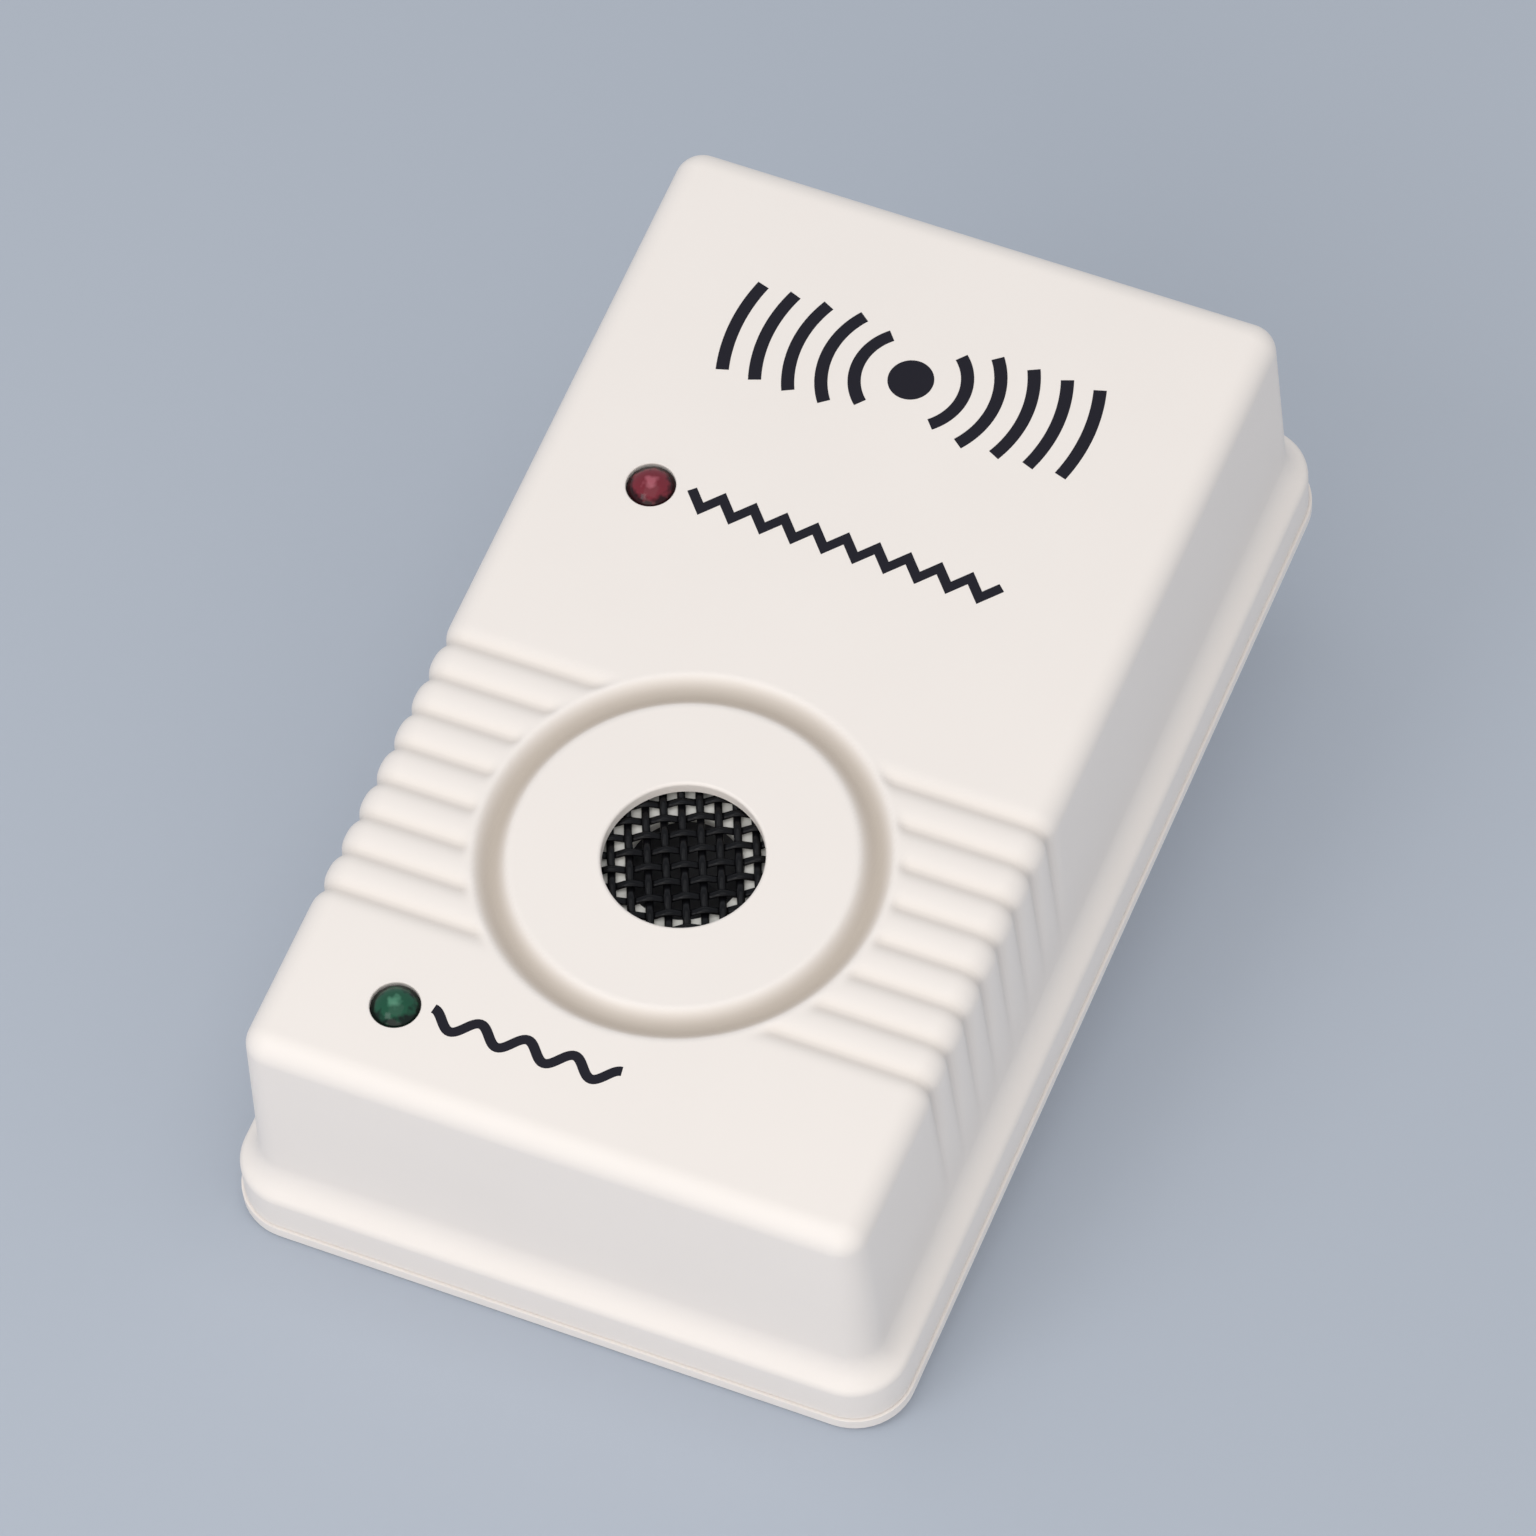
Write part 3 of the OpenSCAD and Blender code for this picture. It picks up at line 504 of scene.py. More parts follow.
@dataclass
class PieceMaker:
    """Puts finished meshes on the frame; merge is in millimetres and level in degrees."""

    bench: Bench
    merge: float = 0.002
    level: float = 1.0
    round_steps: int = 3

    def put(
        self, name: str, mesh: bpy.types.Mesh, material: bpy.types.Material, slot: str,
        nodes: Sequence[str] = (), sharp: float = SHARP, even: bool = True, lying: bool = True,
    ) -> None:
        """Puts a mesh on the frame as a piece.

        Args:
            name: The piece's name.
            mesh: Its mesh.
            material: Its finish.
            slot: Not used.
            nodes: The nodes that it stands for.
            sharp: The angle above which an edge shows as an edge.
            even: Whether flat faces keep their own shading.
            lying: Whether the mesh still lies on the bench, or stands in the frame already.
        """
        if lying:
            mesh.transform(self.bench.stand())
        bm = bmesh.new()
        bm.from_mesh(mesh)
        smooth_below(bm, sharp)
        bm.to_mesh(mesh)
        bm.free()
        mesh.materials.clear()
        mesh.materials.append(material)
        piece = bpy.data.objects.new(name, mesh)
        bpy.context.scene.collection.objects.link(piece)
        if even:
            normals = piece.modifiers.new("even", "WEIGHTED_NORMAL")
            normals.keep_sharp = True
        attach(piece, "root")
        if nodes:
            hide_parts(*nodes)
        LOG.info("%s: %d faces", name, len(mesh.polygons))

    def softened(self, node: str, material: bpy.types.Material, slot: str, radius: float) -> None:
        """Makes a copy of a node's solid with its edges rounded.

        Args:
            node: The node that is copied and replaced.
            material: The copy's finish.
            slot: The material slot's name, handed on to put.
            radius: Radius of the rounding, in millimetres.
        """
        bm = bmesh.new()
        bm.from_mesh(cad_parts[node].data)
        bmesh.ops.remove_doubles(bm, verts=bm.verts, dist=self.merge * MM)
        bmesh.ops.dissolve_limit(
            bm, angle_limit=math.radians(self.level), verts=bm.verts, edges=bm.edges,
            use_dissolve_boundaries=False,
        )
        corners = [edge for edge in bm.edges if edge.calc_face_angle(0.0) > math.radians(SHARP)]
        bmesh.ops.bevel(
            bm, geom=corners, offset=radius * MM, offset_type="OFFSET", segments=self.round_steps,
            profile=0.5, affect="EDGES", material=-1, clamp_overlap=True,
        )
        mesh = bpy.data.meshes.new(node)
        bm.to_mesh(mesh)
        bm.free()
        self.put("soft_" + node, mesh, material, slot, [node], lying=False)


def ease(share: float) -> float:
    """Gives a smooth step from 0 to 1 as a share runs from 0 to 1."""
    kept = min(max(share, 0.0), 1.0)
    return kept * kept * (3 - 2 * kept)


def arc(centre: Point, radius: float, start: float, end: float, steps: int) -> Iterator[Point]:
    """Walks along an arc.

    Args:
        centre: The arc's centre.
        radius: Its radius.
        start: The angle that it starts from, in degrees.
        end: The angle that it ends at, in degrees.
        steps: Steps between the two.

    Yields:
        Points of the arc, with both its ends.
    """
    for step in range(steps + 1):
        angle = math.radians(start + (end - start) * step / steps)
        yield centre[0] + radius * math.cos(angle), centre[1] + radius * math.sin(angle)


@dataclass
class FrontHousing:
    """The moulded front shell: foot flange, drafted walls, ribs, ring groove and holes.

    Sizes are in millimetres and angles in degrees, here and in the pieces below.
    """

    bench: Bench
    rim_radius: float = 6.0
    rim_step: float = 0.3
    parting: float = 1.8
    foot_height: float = 7.2
    foot_out: float = 2.1
    foot_edge: float = 1.2
    foot_cove: float = 4.0
    draft: float = 2.0
    face_edge: float = 2.6
    wall: float = 1.6
    face: float = 2.4
    corner_steps: int = 14
    foot_steps: int = 6
    cove_steps: int = 8
    wall_steps: int = 10
    edge_steps: int = 12
    crease: float = 65.0
    cell: float = 0.35
    coarse_cell: float = 1.0
    fine_reach: float = 21.5
    ring_mean: float = 18.55
    ring_half: float = 1.7
    ring_depth: float = 1.45
    ring_fill: float = 0.6
    groove_count: int = 8
    groove_pitch: float = 4.2
    groove_depth: float = 0.65
    groove_soft: float = 0.08
    rib_round: float = 3.0
    rib_margin: float = 0.1
    # How much of the painted groove shade the ribs' grooves take.
    rib_shade_share: float = 0.32
    groove_ramp: float = 1.1
    grille_radius: float = 7.9
    grille_steps: int = 96
    mesh_slip: float = 0.15
    mesh_gap: float = 0.05
    grille_lip: float = 0.35
    lamp_hole: float = 2.47
    lamp_steps: int = 48
    lamp_lip: float = 0.15
    lip_end: float = 98.0
    lip_steps: int = 5
    above: float = 1.0

    def __post_init__(self) -> None:
        """Works out where the rounded corners' centres lie, and the grille's middle."""
        width, length = self.bench.width, self.bench.length
        self.core = Vector((width / 2 - self.rim_radius, length / 2 - self.rim_radius))
        self.foot_radius = self.rim_radius - self.rim_step
        low, high = self.bench.place("grille_mesh")
        self.grille_y = (low.y + high.y) / 2
        self.mesh_radius = (high.x - low.x) / 2
        self.mesh_top = high.z
        self.slope = math.tan(math.radians(self.draft))
        edge_z = self.bench.depth - self.face_edge
        edge_in = self.face_edge / math.cos(math.radians(self.draft))
        self.edge = (self.wall_radius(edge_z) - edge_in, edge_z)

    def wall_radius(self, z: float) -> float:
        """Gives the side wall's corner radius at a height."""
        return self.foot_radius - self.foot_out - (z - self.foot_height) * self.slope

    def cove(self) -> tuple[Point, Point, float]:
        """Finds the foot's rounding and the cove that rolls off it into the wall.

        Returns:
            The rounding's centre, the cove's centre, and the angle between them in degrees.
        """
        foot = (self.foot_radius - self.foot_edge, self.foot_height - self.foot_edge)
        reach = self.foot_cove + self.foot_edge
        off = self.wall_radius(foot[1]) + self.foot_cove / math.cos(math.radians(self.draft)) - foot[0]
        spread = 1 + self.slope**2
        root = math.sqrt((off * self.slope) ** 2 - spread * (off**2 - reach**2))
        rise = (off * self.slope + root) / spread
        centre = (foot[0] + off - rise * self.slope, foot[1] + rise)
        return foot, centre, math.degrees(math.atan2(rise, centre[0] - foot[0]))

    def outside(self) -> list[Point]:
        """Draws the outside's half profile.

        Returns:
            Points as the corners' radius and the height, from the parting line to the mid-face.
        """
        foot, cove, lean = self.cove()
        profile = [(self.foot_radius, self.parting)]
        profile += arc(foot, self.foot_edge, 0.0, lean, self.foot_steps)
        profile += list(arc(cove, self.foot_cove, lean + 180.0, 180.0 + self.draft, self.cove_steps))[1:]
        low, high = profile[-1][1], self.edge[1]
        heights = [low + (high - low) * step / self.wall_steps for step in range(1, self.wall_steps)]
        profile += [(self.wall_radius(height), height) for height in heights]
        profile += arc(self.edge, self.face_edge, self.draft, 90.0, self.edge_steps)
        return profile + [(0.0, self.bench.depth)]

    def inside(self) -> list[Point]:
        """Gives the cavity's half profile, from below the parting line up to the face."""
        low, high = self.parting - self.above, self.bench.depth - self.face
        return [(self.wall_radius(z) - self.wall, z) for z in (low, high)]

    def stations(self) -> Lines:
        """Spaces the grid lines, close together about the grille.

        Returns:
            The lines across the case and the lines up it.
        """
        across = 2 * round(self.core.x / self.cell)
        columns = [self.core.x * (2 * step / across - 1) for step in range(across + 1)]
        low, high = self.grille_y - self.fine_reach, self.grille_y + self.fine_reach
        rows = []
        for start, end, cell in (
            (-self.core.y, low, self.coarse_cell),
            (low, high, self.cell),
            (high, self.core.y, self.coarse_cell),
        ):
            count = max(1, round((end - start) / cell))
            rows += [start + (end - start) * step / count for step in range(count)]
        return columns, rows + [self.core.y]

    def block(self, profile: Sequence[Point], lines: Lines) -> Shape:
        """Runs a half profile round the case's outline.

        Args:
            profile: Points as the corners' radius and the height.
            lines: Grid lines across and up the case that its straight sides are cut at.

        Returns:
            The closed block.
        """
        shape = Shape()
        bm = shape.bm
        radius, low = profile[0]
        reach = self.core + Vector((radius, radius))
        signs = ((-1, -1), (1, -1), (1, 1), (-1, 1))
        corners = [bm.verts.new((sx * reach.x, sy * reach.y, low)) for sx, sy in signs]
        bm.faces.new(corners)
        bmesh.ops.bevel(
            bm, geom=corners, offset=radius, offset_type="OFFSET", segments=self.corner_steps,
            profile=0.5, affect="VERTICES", material=-1,
        )
        sides = [edge for edge in bm.edges if edge.calc_length() > self.core.x]
        for edge in sides:
            along = 0 if abs(edge.verts[0].co.y - edge.verts[1].co.y) < self.cell else 1
            made = bmesh.ops.subdivide_edges(bm, edges=[edge], cuts=max(len(lines[along]) - 2, 0))
            fresh = [item for item in made["geom_inner"] if isinstance(item, bmesh.types.BMVert)]
            self.settle(fresh, along, lines[along])
        end = bm.faces[:][0]
        for radius, height in profile[1:]:
            end = shape.pull(end)
            for vert in end.verts:
                centre = self.nearest_core(vert.co)
                spot = centre + (vert.co.xy - centre).normalized() * radius
                vert.co = (spot.x, spot.y, height)
        return shape

    def nearest_core(self, place: Vector) -> Vector:
        """Finds the point of the corner centres' rectangle that is nearest to a place.

        Args:
            place: The place.

        Returns:
            That point.
        """
        x = min(max(place.x, -self.core.x), self.core.x)
        y = min(max(place.y, -self.core.y), self.core.y)
        return Vector((x, y))

    def settle(self, verts: Sequence[bmesh.types.BMVert], along: int, lines: Sequence[float]) -> None:
        """Moves evenly spaced vertices onto grid lines.

        Args:
            verts: Vertices spread evenly between the corner centres.
            along: The axis that they are spread along.
            lines: The grid lines.
        """
        half = self.core[along]
        for vert in verts:
            index = round((vert.co[along] + half) / (2 * half) * (len(lines) - 1))
            vert.co[along] = lines[index]

    def rib_drop(self, place: Vector) -> float:
        """Works out how deep the grooves between the ribs are at a place.

        Args:
            place: A point of the smooth outside.

        Returns:
            The depth under it.
        """
        step = (place.y - self.grille_y) / self.groove_pitch + (self.groove_count - 1) / 2
        index = min(max(round(step), 0), self.groove_count - 1)
        off = abs(step - index) * 2
        if off >= 1:
            return 0.0
        soft = math.hypot(off, self.groove_soft) - self.groove_soft
        depth = self.groove_depth * max(1 - soft, 0.0) ** self.rib_round
        keep = self.ring_mean + self.ring_half + self.rib_margin
        apart = math.hypot(place.x, place.y - self.grille_y) - keep
        _, cove, _ = self.cove()
        fade = min(max((place.z - cove[1]) / (self.edge[1] - cove[1]), 0.0), 1.0)
        return depth * ease(apart / self.groove_ramp) * fade

    def ring_drop(self, place: Vector) -> float:
        """Works out how deep the ring groove is at a place.

        Args:
            place: A point of the smooth outside.

        Returns:
            The depth under it.
        """
        apart = math.hypot(place.x, place.y - self.grille_y) - self.ring_mean
        share = apart / self.ring_half
        if abs(share) >= 1 or place.z < self.edge[1]:
            return 0.0
        return self.ring_depth * (0.5 + 0.5 * math.cos(math.pi * share)) ** self.ring_fill

    def shell(self) -> Shape:
        """Makes the outside with its ribs and ring groove pressed in.

        Returns:
            The closed shape, not yet hollow.
        """
        lines = self.stations()
        shape = self.block(self.outside(), lines)
        bm = shape.bm
        level = self.bench.depth - self.cell / 10
        top = [face for face in bm.faces if face.calc_center_median().z > level]
        middle = [face for face in top if len(face.verts) > 4]
        bmesh.ops.delete(bm, geom=middle, context="FACES_ONLY")
        columns, rows = lines
        place = Matrix.Translation((0.0, 0.0, self.bench.depth)) @ Matrix.Diagonal((*self.core, 1.0, 1.0))
        grid = bmesh.ops.create_grid(
            bm, x_segments=len(columns) - 1, y_segments=len(rows) - 1, size=1.0, matrix=place
        )["verts"]
        self.settle(grid, 0, columns)
        self.settle(grid, 1, rows)
        shape.cleaned()
        bm.normal_update()
        for vert in bm.verts:
            drop = self.rib_drop(vert.co) + self.ring_drop(vert.co)
            if drop > 0 and vert.co.z > self.parting + self.above:
                vert.co -= vert.normal * drop
        return shape

    def hole_profile(self, radius: float, lip: float, low: float) -> list[Point]:
        """Gives the half profile of a hole's cutter.

        Args:
            radius: The hole's radius.
            lip: Radius of the rounding at the face.
            low: Where the cutter starts.

        Returns:
            Points as radius and height, from the axis round to the axis.
        """
        top = self.bench.depth
        edge = list(arc((radius + lip, top - lip), lip, 180.0, self.lip_end, self.lip_steps))
        clear = top + self.above
        return [(0.0, low), (radius, low), *edge, (edge[-1][0], clear), (0.0, clear)]

    def holes(self) -> Shape:
        """Makes the cutters of the grille hole, its mesh pocket and the lamp holes.

        Returns:
            The cutters, apart from one another.
        """
        shape = Shape()
        inner = self.bench.depth - self.face - self.above
        pocket = self.mesh_radius + self.mesh_slip
        land = self.mesh_top + self.mesh_gap
        profile = [(0.0, inner), (pocket, inner), (pocket, land)]
        profile += self.hole_profile(self.grille_radius, self.grille_lip, land)[1:]
        shape.revolve(profile, (0.0, self.grille_y), self.grille_steps)
        for lamp in ("red_led", "green_led"):
            low, high = self.bench.place(lamp)
            middle = (low + high) / 2
            profile = self.hole_profile(self.lamp_hole, self.lamp_lip, inner)
            shape.revolve(profile, (middle.x, middle.y), self.lamp_steps)
        return shape.cleaned()

    def mark_recesses(self, mesh: bpy.types.Mesh) -> None:
        """Marks how far each point of a mesh lies down in a groove, from 0 to 1, which sets how much shade
        the plastic paints there.

        Args:
            mesh: The housing's mesh, lying on the bench.
        """
        marks = mesh.attributes.new(RECESS, "FLOAT", "POINT")
        for vert, mark in zip(mesh.vertices, marks.data):
            # The mark sets how much painted shade each point gets.
            rib = self.rib_shade_share * self.rib_drop(vert.co) / self.groove_depth
            ring = self.ring_drop(vert.co) / self.ring_depth
            mark.value = min(rib + ring, 1.0)

    def build(self, maker: PieceMaker, finish: bpy.types.Material) -> None:
        """Models the housing.

        Args:
            maker: Puts the piece on the frame.
            finish: The plastic.
        """
        mesh = self.shell().to_mesh("front_shell")
        sides = ([-self.core.x, self.core.x], [-self.core.y, self.core.y])
        mesh = carve(mesh, self.block(self.inside(), sides).cleaned().to_mesh("cavity"))
        mesh = carve(mesh, self.holes().to_mesh("holes"))
        self.mark_recesses(mesh)
        maker.put("front_shell", mesh, finish, "ivory_plastic", ["front_housing"], self.crease)


@dataclass
class WireCloth:
    """Woven wire behind the grille hole."""

    bench: Bench
    pitch: float = 1.75
    wire: float = 0.8
    flatten: float = 0.62
    turn: float = 25.0
    steps_per_pitch: int = 6
    sides: int = 10
    crease: float = 60.0

    def wire_path(self, offset: float, half: float, phase: int, amplitude: float) -> list[Vector]:
        """Gives a wire's course over and under the wires that it crosses.

        Args:
            offset: The wire's distance from the middle.
            half: Half its length.
            phase: Whether it starts over or under.
            amplitude: How far it rises and falls.

        Returns:
            Points along the wire.
        """
        count = max(2, round(2 * half / self.pitch * self.steps_per_pitch))
        path = []
        for step in range(count + 1):
            along = -half + 2 * half * step / count
            wave = math.cos(math.pi * (along / self.pitch + phase))
            path.append(Vector((along, offset, amplitude * wave)))
        return path

    def build(self, maker: PieceMaker, finish: bpy.types.Material) -> None:
        """Weaves the cloth.

        Args:
            maker: Puts the piece on the frame.
            finish: The wire's finish.
        """
        low, high = self.bench.place("grille_mesh")
        radius = (high.x - low.x) / 2
        thick = self.wire * self.flatten
        middle = Vector(((low.x + high.x) / 2, (low.y + high.y) / 2, high.z - thick))
        circle = list(arc((0.0, 0.0), 1.0, 0.0, 360.0, self.sides))[:-1]
        ring = [Vector((0.0, y * self.wire / 2, z * thick / 2)) for y, z in circle]
        shape = Shape()
        count = int((radius - self.wire) / self.pitch)
        for across in (0, 1):
            turn = Matrix.Rotation(math.radians(self.turn + 90 * across), 4, "Z")
            spin = Matrix.Translation(middle) @ turn
            for index in range(-count, count + 1):
                offset = index * self.pitch
                half = math.sqrt(radius**2 - offset**2) - self.wire / 2
                path = self.wire_path(offset, half, index + across, thick / 2)
                section = [spin @ (path[0] + point) for point in ring]
                moves = [Matrix.Translation(turn @ (b - a)) for a, b in zip(path, path[1:])]
                shape.sweep(section, moves)
        bmesh.ops.recalc_face_normals(shape.bm, faces=shape.bm.faces)
        mesh = shape.to_mesh("wire_cloth")
        maker.put("wire_cloth", mesh, finish, "black_wire", ["grille_mesh"], self.crease, False)


class LampTint(Enum):
    """The colours of a lamp: painted shade at its edge, its resin's body colour, and a painted glint in its
    middle.
    """

    RED = ((0.02, 0.001, 0.003), (0.17, 0.018, 0.030), (0.36, 0.09, 0.12))
    GREEN = ((0.001, 0.008, 0.005), (0.010, 0.075, 0.040), (0.07, 0.22, 0.14))


@dataclass
class Lamp:
    """A round indicator lamp with a domed lens, set in its hole."""

    bench: Bench
    node: str
    slot: str
    tint: LampTint
    radius: float = 2.4
    collar: float = 2.9
    collar_height: float = 1.0
    dome_height: float = 1.2
    dome_steps: int = 14
    steps: int = 48

    def build(self, maker: PieceMaker) -> None:
        """Models the lamp.

        Args:
            maker: Puts the piece on the frame.
        """
        low, high = self.bench.place(self.node)
        middle = (low + high) / 2
        tip = high.z
        cap = (self.radius**2 + self.dome_height**2) / (2 * self.dome_height)
        lean = math.degrees(math.acos(self.radius / cap))
        dome = list(arc((0.0, tip - cap), cap, lean, 90.0, self.dome_steps))
        dome[-1] = (0.0, tip)
        shoulder = low.z + self.collar_height
        foot = [(0.0, low.z), (self.collar, low.z), (self.collar, shoulder), (self.radius, shoulder)]
        shape = Shape().revolve(foot + dome, (middle.x, middle.y), self.steps).cleaned()
        centre = self.bench.stand() @ Vector((middle.x, middle.y, tip))
        finish = TintedLens(self.slot, *self.tint.value, centre, self.radius * MM)
        name = self.node + "_lens"
        maker.put(name, shape.to_mesh(name), finish.material(), self.slot, [self.node])


class Swing(Enum):
    """How a printed line swings: the number of its cycles, and the points that draw each cycle."""

    ZIGZAG = (10, 2)
    WAVE = (4, 24)

    def course(self) -> Iterator[Point]:
        """Walks along the line.

        Yields:
            The share of its length, and its swing from -1 to 1.
        """
        cycles, points = self.value
        for step in range(cycles * points + 1):
            yield step / (cycles * points), math.cos(2 * math.pi * step / points)


@dataclass
class FacePrint:
    """Plain marks printed on the face: radiating arcs, a zigzag and a wave."""

    bench: Bench
    ink: float = 0.03
    sunk: float = 0.01
    stroke: float = 1.0
    arcs_at: Point = (0.0, 36.5)
    arcs_reach: float = 18.6
    arcs_half: float = 5.3
    arc_count: int = 5
    arc_stroke: float = 1.3
    arc_widest: float = 0.75
    arc_steps: int = 24
    dot: float = 2.3
    dot_steps: int = 48
    zigzag: Point = (-15.2, 17.3)
    wave: Point = (-15.6, 3.8)
    swing: float = 0.9

    def levels(self) -> Point:
        """Gives the ink's lower and upper heights."""
        return self.bench.depth - self.sunk, self.bench.depth - self.sunk + self.ink

    def draw_arcs(self, shape: Shape) -> None:
        """Adds the dot and the arcs that spread from it to both sides.

        Args:
            shape: The shape that they are added to.
        """
        low, high = self.levels()
        shape.post(self.arcs_at, self.dot, low, high, self.dot_steps)
        axis = Matrix.Translation((*self.arcs_at, 0.0))
        for index in range(1, self.arc_count + 1):
            radius = self.dot + (self.arcs_reach - self.dot) * index / self.arc_count
            lean = math.asin(min(self.arcs_half / radius, self.arc_widest))
            turn = axis @ Matrix.Rotation(2 * lean / self.arc_steps, 4, "Z") @ axis.inverted()
            inner, outer = radius - self.arc_stroke / 2, radius + self.arc_stroke / 2
            corners = ((inner, low), (outer, low), (outer, high), (inner, high))
            for side in (0.0, math.pi):
                start = axis @ Matrix.Rotation(side - lean, 4, "Z")
                section = [start @ Vector((r, 0.0, z)) for r, z in corners]
                shape.sweep(section, [turn] * self.arc_steps)

    def draw_line(self, shape: Shape, lamp: str, span: Point, form: Swing) -> None:
        """Adds a line that swings from side to side, level with a lamp.

        Args:
            shape: The shape that it is added to.
            lamp: The lamp that it stands beside.
            span: Where it starts and ends across the face.
            form: The way that it swings.
        """
        low, high = self.levels()
        level = self.lamp_level(lamp)
        path = [
            Vector((span[0] + (span[1] - span[0]) * share, level + self.swing * side, 0.0))
            for share, side in form.course()
        ]
        half = self.stroke / 2
        corners = ((-half, low), (half, low), (half, high), (-half, high))
        stations = list(self.stations(path))
        section = [stations[0] @ Vector((0.0, off, z)) for off, z in corners]
        moves = [after @ before.inverted() for before, after in zip(stations, stations[1:])]
        shape.sweep(section, moves)

    @staticmethod
    def stations(path: Sequence[Vector]) -> Iterator[Matrix]:
        """Walks along a stroke's path.

        Args:
            path: The stroke's points.

        Yields:
            The stroke's place and turn at each point, widened where it bends.
        """
        runs = [(after - before).normalized() for before, after in zip(path, path[1:])]
        for point, before, after in zip(path, [runs[0], *runs], [*runs, runs[-1]]):
            mean = (before + after).normalized()
            turn = Matrix.Rotation(math.atan2(mean.y, mean.x), 4, "Z")
            widen = Matrix.Diagonal((1.0, 1.0 / mean.dot(before), 1.0, 1.0))
            yield Matrix.Translation(point) @ turn @ widen

    def lamp_level(self, lamp: str) -> float:
        """Gives a lamp's height up the case."""
        low, high = self.bench.place(lamp)
        return (low.y + high.y) / 2

    def build(self, maker: PieceMaker, finish: bpy.types.Material) -> None:
        """Prints the marks.

        Args:
            maker: Puts the piece on the frame.
            finish: The ink.
        """
        shape = Shape()
        self.draw_arcs(shape)
        self.draw_line(shape, "red_led", self.zigzag, Swing.ZIGZAG)
        self.draw_line(shape, "green_led", self.wave, Swing.WAVE)
        bmesh.ops.recalc_face_normals(shape.bm, faces=shape.bm.faces)
        maker.put("face_print", shape.to_mesh("face_print"), finish, "black_plastic")


class Inner(Enum):
    """Finishes of the pieces that the closed case hides, by the nodes that wear them."""

    FELT = (MouldedPlastic("pale_felt", (0.88, 0.87, 0.82), roughness=0.9), ("mesh_gasket",))
    # The transducer's cone, seen through the grille, wears this black as painted shade for the dark inside
    # of the grille.
    BLACK = (
        MouldedPlastic("black_plastic", (0.03, 0.03, 0.033), roughness=0.5),
        ("transducer_case", "transducer_cone", "timer_chip", "driver_transistors", "rectifier_diodes"),
    )
    BRASS = (Metal("piezo_brass", (0.75, 0.60, 0.30), roughness=0.35), ("piezo_disc",))
    FOAM = (MouldedPlastic("grey_foam", (0.25, 0.26, 0.28), roughness=0.95), ("transducer_pad",))
    RED_LEAD = (MouldedPlastic("red_lead", (0.55, 0.04, 0.04), roughness=0.4), ("transducer_leads",))
    BROWN_LEAD = (MouldedPlastic("brown_lead", (0.25, 0.13, 0.06), roughness=0.4), ("live_lead",))
    BLUE_LEAD = (MouldedPlastic("blue_lead", (0.06, 0.15, 0.45), roughness=0.4), ("neutral_lead",))
    TIN = (Metal("tinned_wire", (0.75, 0.75, 0.73), roughness=0.3), ("led_legs", "chip_pins"))
    LAMINATE = (MouldedPlastic("laminate", (0.42, 0.28, 0.13), roughness=0.5), ("circuit_board",))
    STEEL = (Metal("plated_steel", (0.62, 0.62, 0.60), roughness=0.35), ("board_screws",))
    BOBBIN = (MouldedPlastic("bobbin_plastic", (0.80, 0.78, 0.72), roughness=0.5), ("coil_bobbin",))
    COPPER = (Metal("copper_wire", (0.72, 0.32, 0.14), roughness=0.35), ("coil_winding", "choke_winding"))
    IRON = (Metal("dark_iron", (0.22, 0.22, 0.23), roughness=0.5), ("coil_core", "choke_core"))
    FILM = (MouldedPlastic("film_box", (0.55, 0.33, 0.06), roughness=0.35), ("film_capacitor",))
    SLEEVE = (MouldedPlastic("can_sleeve", (0.04, 0.06, 0.18), roughness=0.35), ("smoothing_capacitor",))
    PAINT = (MouldedPlastic("resistor_paint", (0.62, 0.48, 0.32), roughness=0.45), ("resistors",))
    GLAZE = (MouldedPlastic("fuse_tube", (0.80, 0.80, 0.77), roughness=0.25), ("fuse",))

    def dress(self) -> None:
        """Puts the finish on its nodes."""
        finish, nodes = self.value
        material = finish.material()
        for node in nodes:
            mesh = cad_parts[node].data
            mesh.materials.clear()
            mesh.materials.append(material)
            LOG.info("%s: %s", node, finish.name)


class Softbox(Enum):
    """The softboxes: place on the bench in millimetres, side in metres, watts and colour."""

    OVER = ((0.0, -60.0, 900.0), 0.8, 1.6, (1.0, 1.0, 1.0))
    KEY = ((-300.0, -500.0, 700.0), 0.3, 0.9, (1.0, 1.0, 1.0))
    NEAR = ((100.0, -800.0, 350.0), 0.8, 3.0, (1.0, 0.94, 0.86))
    RIGHT = ((700.0, -200.0, 500.0), 0.8, 0.25, (1.0, 0.94, 0.86))
    REAR = ((0.0, 120.0, -700.0), 0.6, 5.0, (1.0, 1.0, 1.0))

    def hang(self, stand: Matrix, target: Vector) -> None:
        """Hangs the softbox, aimed at the case.

        Args:
            stand: The motion from the bench to the frame.
            target: Where it is aimed, on the bench.
        """
        place, size, power, colour = self.value
        lamp = bpy.data.lights.new(self.name.lower(), "AREA")
        lamp.size = size
        lamp.energy = power
        lamp.color = colour
        box = bpy.data.objects.new(self.name.lower(), lamp)
        spot = stand @ Vector(place)
        aim = (spot - stand @ target).to_track_quat("Z", "Y").to_matrix().to_4x4()
        box.matrix_world = Matrix.Translation(spot) @ aim
        bpy.context.scene.collection.objects.link(box)


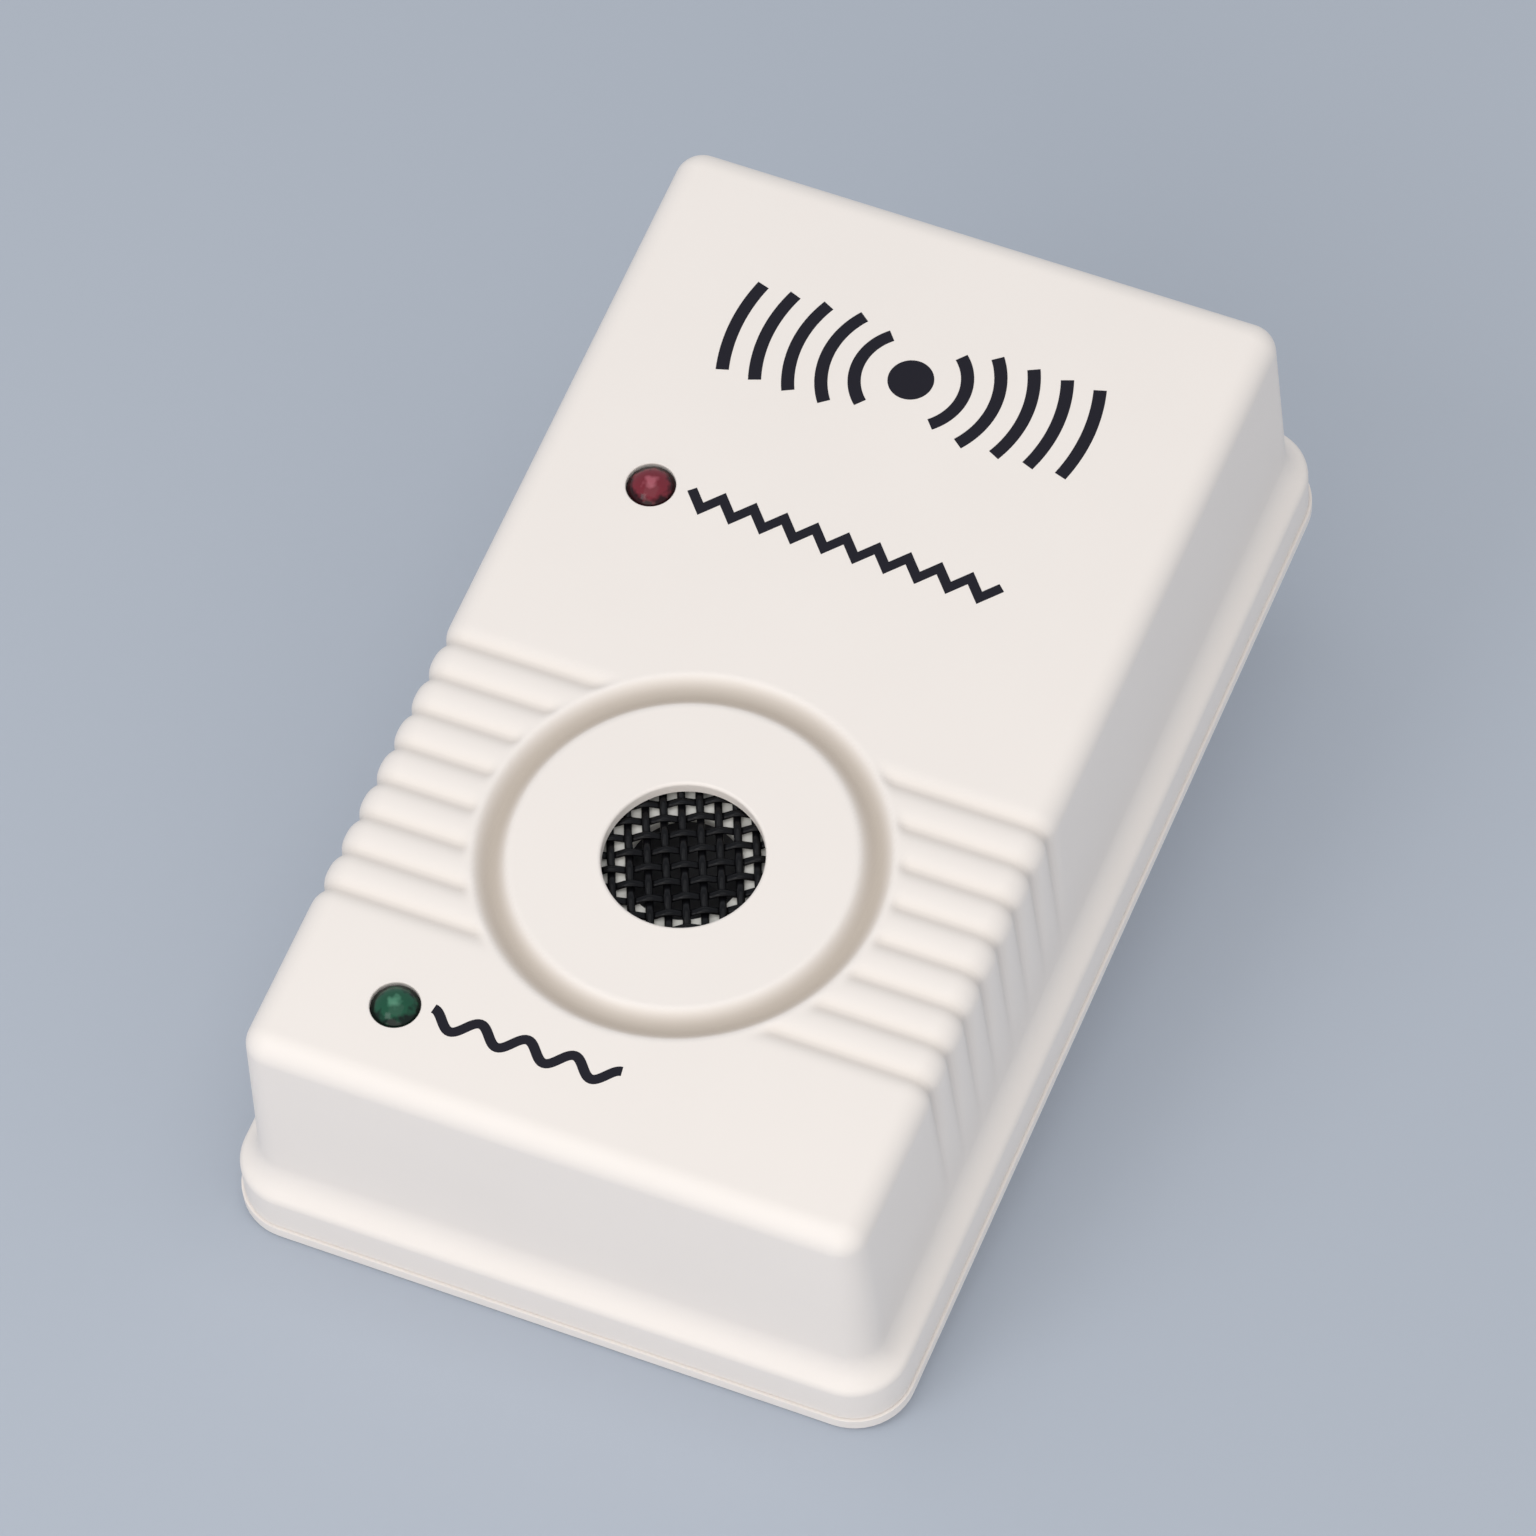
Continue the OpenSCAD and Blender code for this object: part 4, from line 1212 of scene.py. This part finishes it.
@dataclass
class Studio:
    """Ground, lights and camera, placed as they stood round the lying case.

    Places are on the bench, in millimetres; the ground's sizes are in metres.
    """

    bench: Bench
    eye: Vector = Vector((248.2, -468.8, 884.9))
    look_at: Vector = Vector((-1.12, 0.02, 13.48))
    roll: float = 25.52
    lens: float = 244.8
    sensor: float = 36.0
    clip: Point = (0.01, 20.0)
    light_at: Vector = Vector((0.0, 0.0, 10.0))
    ground_half: float = 0.6
    tip_cut: float = 0.001
    ground: Colour = (0.47, 0.52, 0.60)
    ground_shade: float = 0.96
    ground_cells: float = 2.5
    backdrop: Colour = (0.62, 0.66, 0.72)
    sky: float = 0.64
    leak: float = 0.3

    def build(self) -> None:
        """Sets up everything round the object."""
        self.lay_ground()
        self.light_world()
        for softbox in Softbox:
            softbox.hang(self.bench.stand(), self.light_at)
        self.aim_camera()

    def lay_ground(self) -> None:
        """Lays the ground under the case's lower edge and the tips of its blades."""
        heel = Vector((0.0, 0.0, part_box("back_cover")[0][2]))
        low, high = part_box("plug_blade_left")
        toe = Vector((0.0, high[1], low[2] + self.tip_cut))
        along = (toe - heel).normalized()
        shape = bmesh.new()
        place = Matrix.Translation(heel) @ Matrix.Rotation(math.atan2(along.z, along.y), 4, "X")
        bmesh.ops.create_grid(shape, x_segments=1, y_segments=1, size=self.ground_half, matrix=place)
        bmesh.ops.recalc_face_normals(shape, faces=shape.faces)
        for face in shape.faces:
            if face.normal.y > 0:
                face.normal_flip()
        mesh = bpy.data.meshes.new("ground")
        shape.to_mesh(mesh)
        shape.free()
        mesh.materials.append(self.ground_material())
        floor = bpy.data.objects.new("ground", mesh)
        bpy.context.scene.collection.objects.link(floor)

    def ground_material(self) -> bpy.types.Material:
        """Builds the matt ground, clear from below and a little clear to the light behind it.

        Returns:
            The material.
        """
        material, graph = new_material("ground")
        tone = graph.noise(self.ground_cells)
        colour = graph.blend(tone, shaded(self.ground, self.ground_shade), self.ground)
        matt = graph.node("ShaderNodeBsdfDiffuse", {}, {"Color": colour})
        clear = graph.node("ShaderNodeBsdfTransparent", {}, {})
        behind = graph.node("ShaderNodeNewGeometry", {}, {}, "Backfacing")
        shadow = graph.node("ShaderNodeLightPath", {}, {}, "Is Shadow Ray")
        share = behind.at_least(shadow * self.leak)
        graph.surface(graph.node("ShaderNodeMixShader", {}, {0: share, 1: matt, 2: clear}))
        return material

    def light_world(self) -> None:
        """Fills the room with soft light, and shows a pale backdrop beyond the ground."""
        world = bpy.data.worlds.new("room")
        bpy.context.scene.world = world
        world.use_nodes = True
        graph = Graph(world.node_tree)
        soft = graph.node("ShaderNodeBackground", {}, {"Color": (1.0, 1.0, 1.0, 1.0), "Strength": self.sky})
        seen = graph.node("ShaderNodeBackground", {}, {"Color": (*self.backdrop, 1.0), "Strength": 1.0})
        rays = ("Is Camera Ray", "Is Glossy Ray", "Is Transmission Ray")
        camera, glossy, through = (graph.node("ShaderNodeLightPath", {}, {}, ray) for ray in rays)
        share = camera.at_least(glossy).at_least(through)
        mixed = graph.node("ShaderNodeMixShader", {}, {0: share, 1: soft, 2: seen})
        graph.node("ShaderNodeOutputWorld", {}, {"Surface": mixed})

    def aim_camera(self) -> None:
        """Stands the camera where the picture was taken from."""
        data = bpy.data.cameras.new("camera")
        data.lens = self.lens
        data.sensor_width = self.sensor
        data.clip_start, data.clip_end = self.clip
        camera = bpy.data.objects.new("camera", data)
        stand = self.bench.stand()
        eye = stand @ self.eye
        aim = stand @ self.look_at
        level = (eye - aim).to_track_quat("Z", "Y").to_matrix().to_4x4()
        roll = Matrix.Rotation(math.radians(self.roll), 4, "Z")
        camera.matrix_world = Matrix.Translation(eye) @ level @ roll
        bpy.context.scene.collection.objects.link(camera)
        bpy.context.scene.camera = camera


def main() -> None:
    """Builds every piece in order, then the studio; the pieces' face counts are logged."""
    logging.basicConfig(level=logging.INFO, format="%(name)s: %(message)s")
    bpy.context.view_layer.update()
    bench = Bench.measured()
    maker = PieceMaker(bench)
    ivory = MouldedPlastic("ivory_plastic", (0.865, 0.815, 0.78)).material()
    insert = MouldedPlastic("insert_plastic", (0.78, 0.75, 0.70), roughness=0.5).material()
    plated = Metal("plated_brass", (0.72, 0.70, 0.64), roughness=0.28).material()
    steel = Metal("screw_steel", (0.60, 0.60, 0.58), roughness=0.35).material()
    ink = MouldedPlastic("navy_ink", (0.011, 0.010, 0.017), roughness=0.6, specular=0.2).material()
    black = (0.004, 0.004, 0.005)
    wire = Metal("black_wire", black, roughness=0.22, metallic=0.0, specular=0.15).material()

    FrontHousing(bench).build(maker, ivory)
    maker.softened("back_cover", ivory, "ivory_plastic", radius=0.25)
    maker.softened("plug_insert", insert, "insert_plastic", radius=0.25)
    for side in ("left", "right"):
        maker.softened("plug_blade_" + side, plated, "plated_brass", radius=0.15)
    maker.softened("case_screws", steel, "screw_steel", radius=0.08)
    WireCloth(bench).build(maker, wire)
    Lamp(bench, "red_led", "red_lens", LampTint.RED).build(maker)
    Lamp(bench, "green_led", "green_lens", LampTint.GREEN).build(maker)
    FacePrint(bench).build(maker, ink)
    for finish in Inner:
        finish.dress()
    Studio(bench).build()

    bpy.context.scene.view_settings.view_transform = "Standard"


if __name__ == "__main__":
    main()
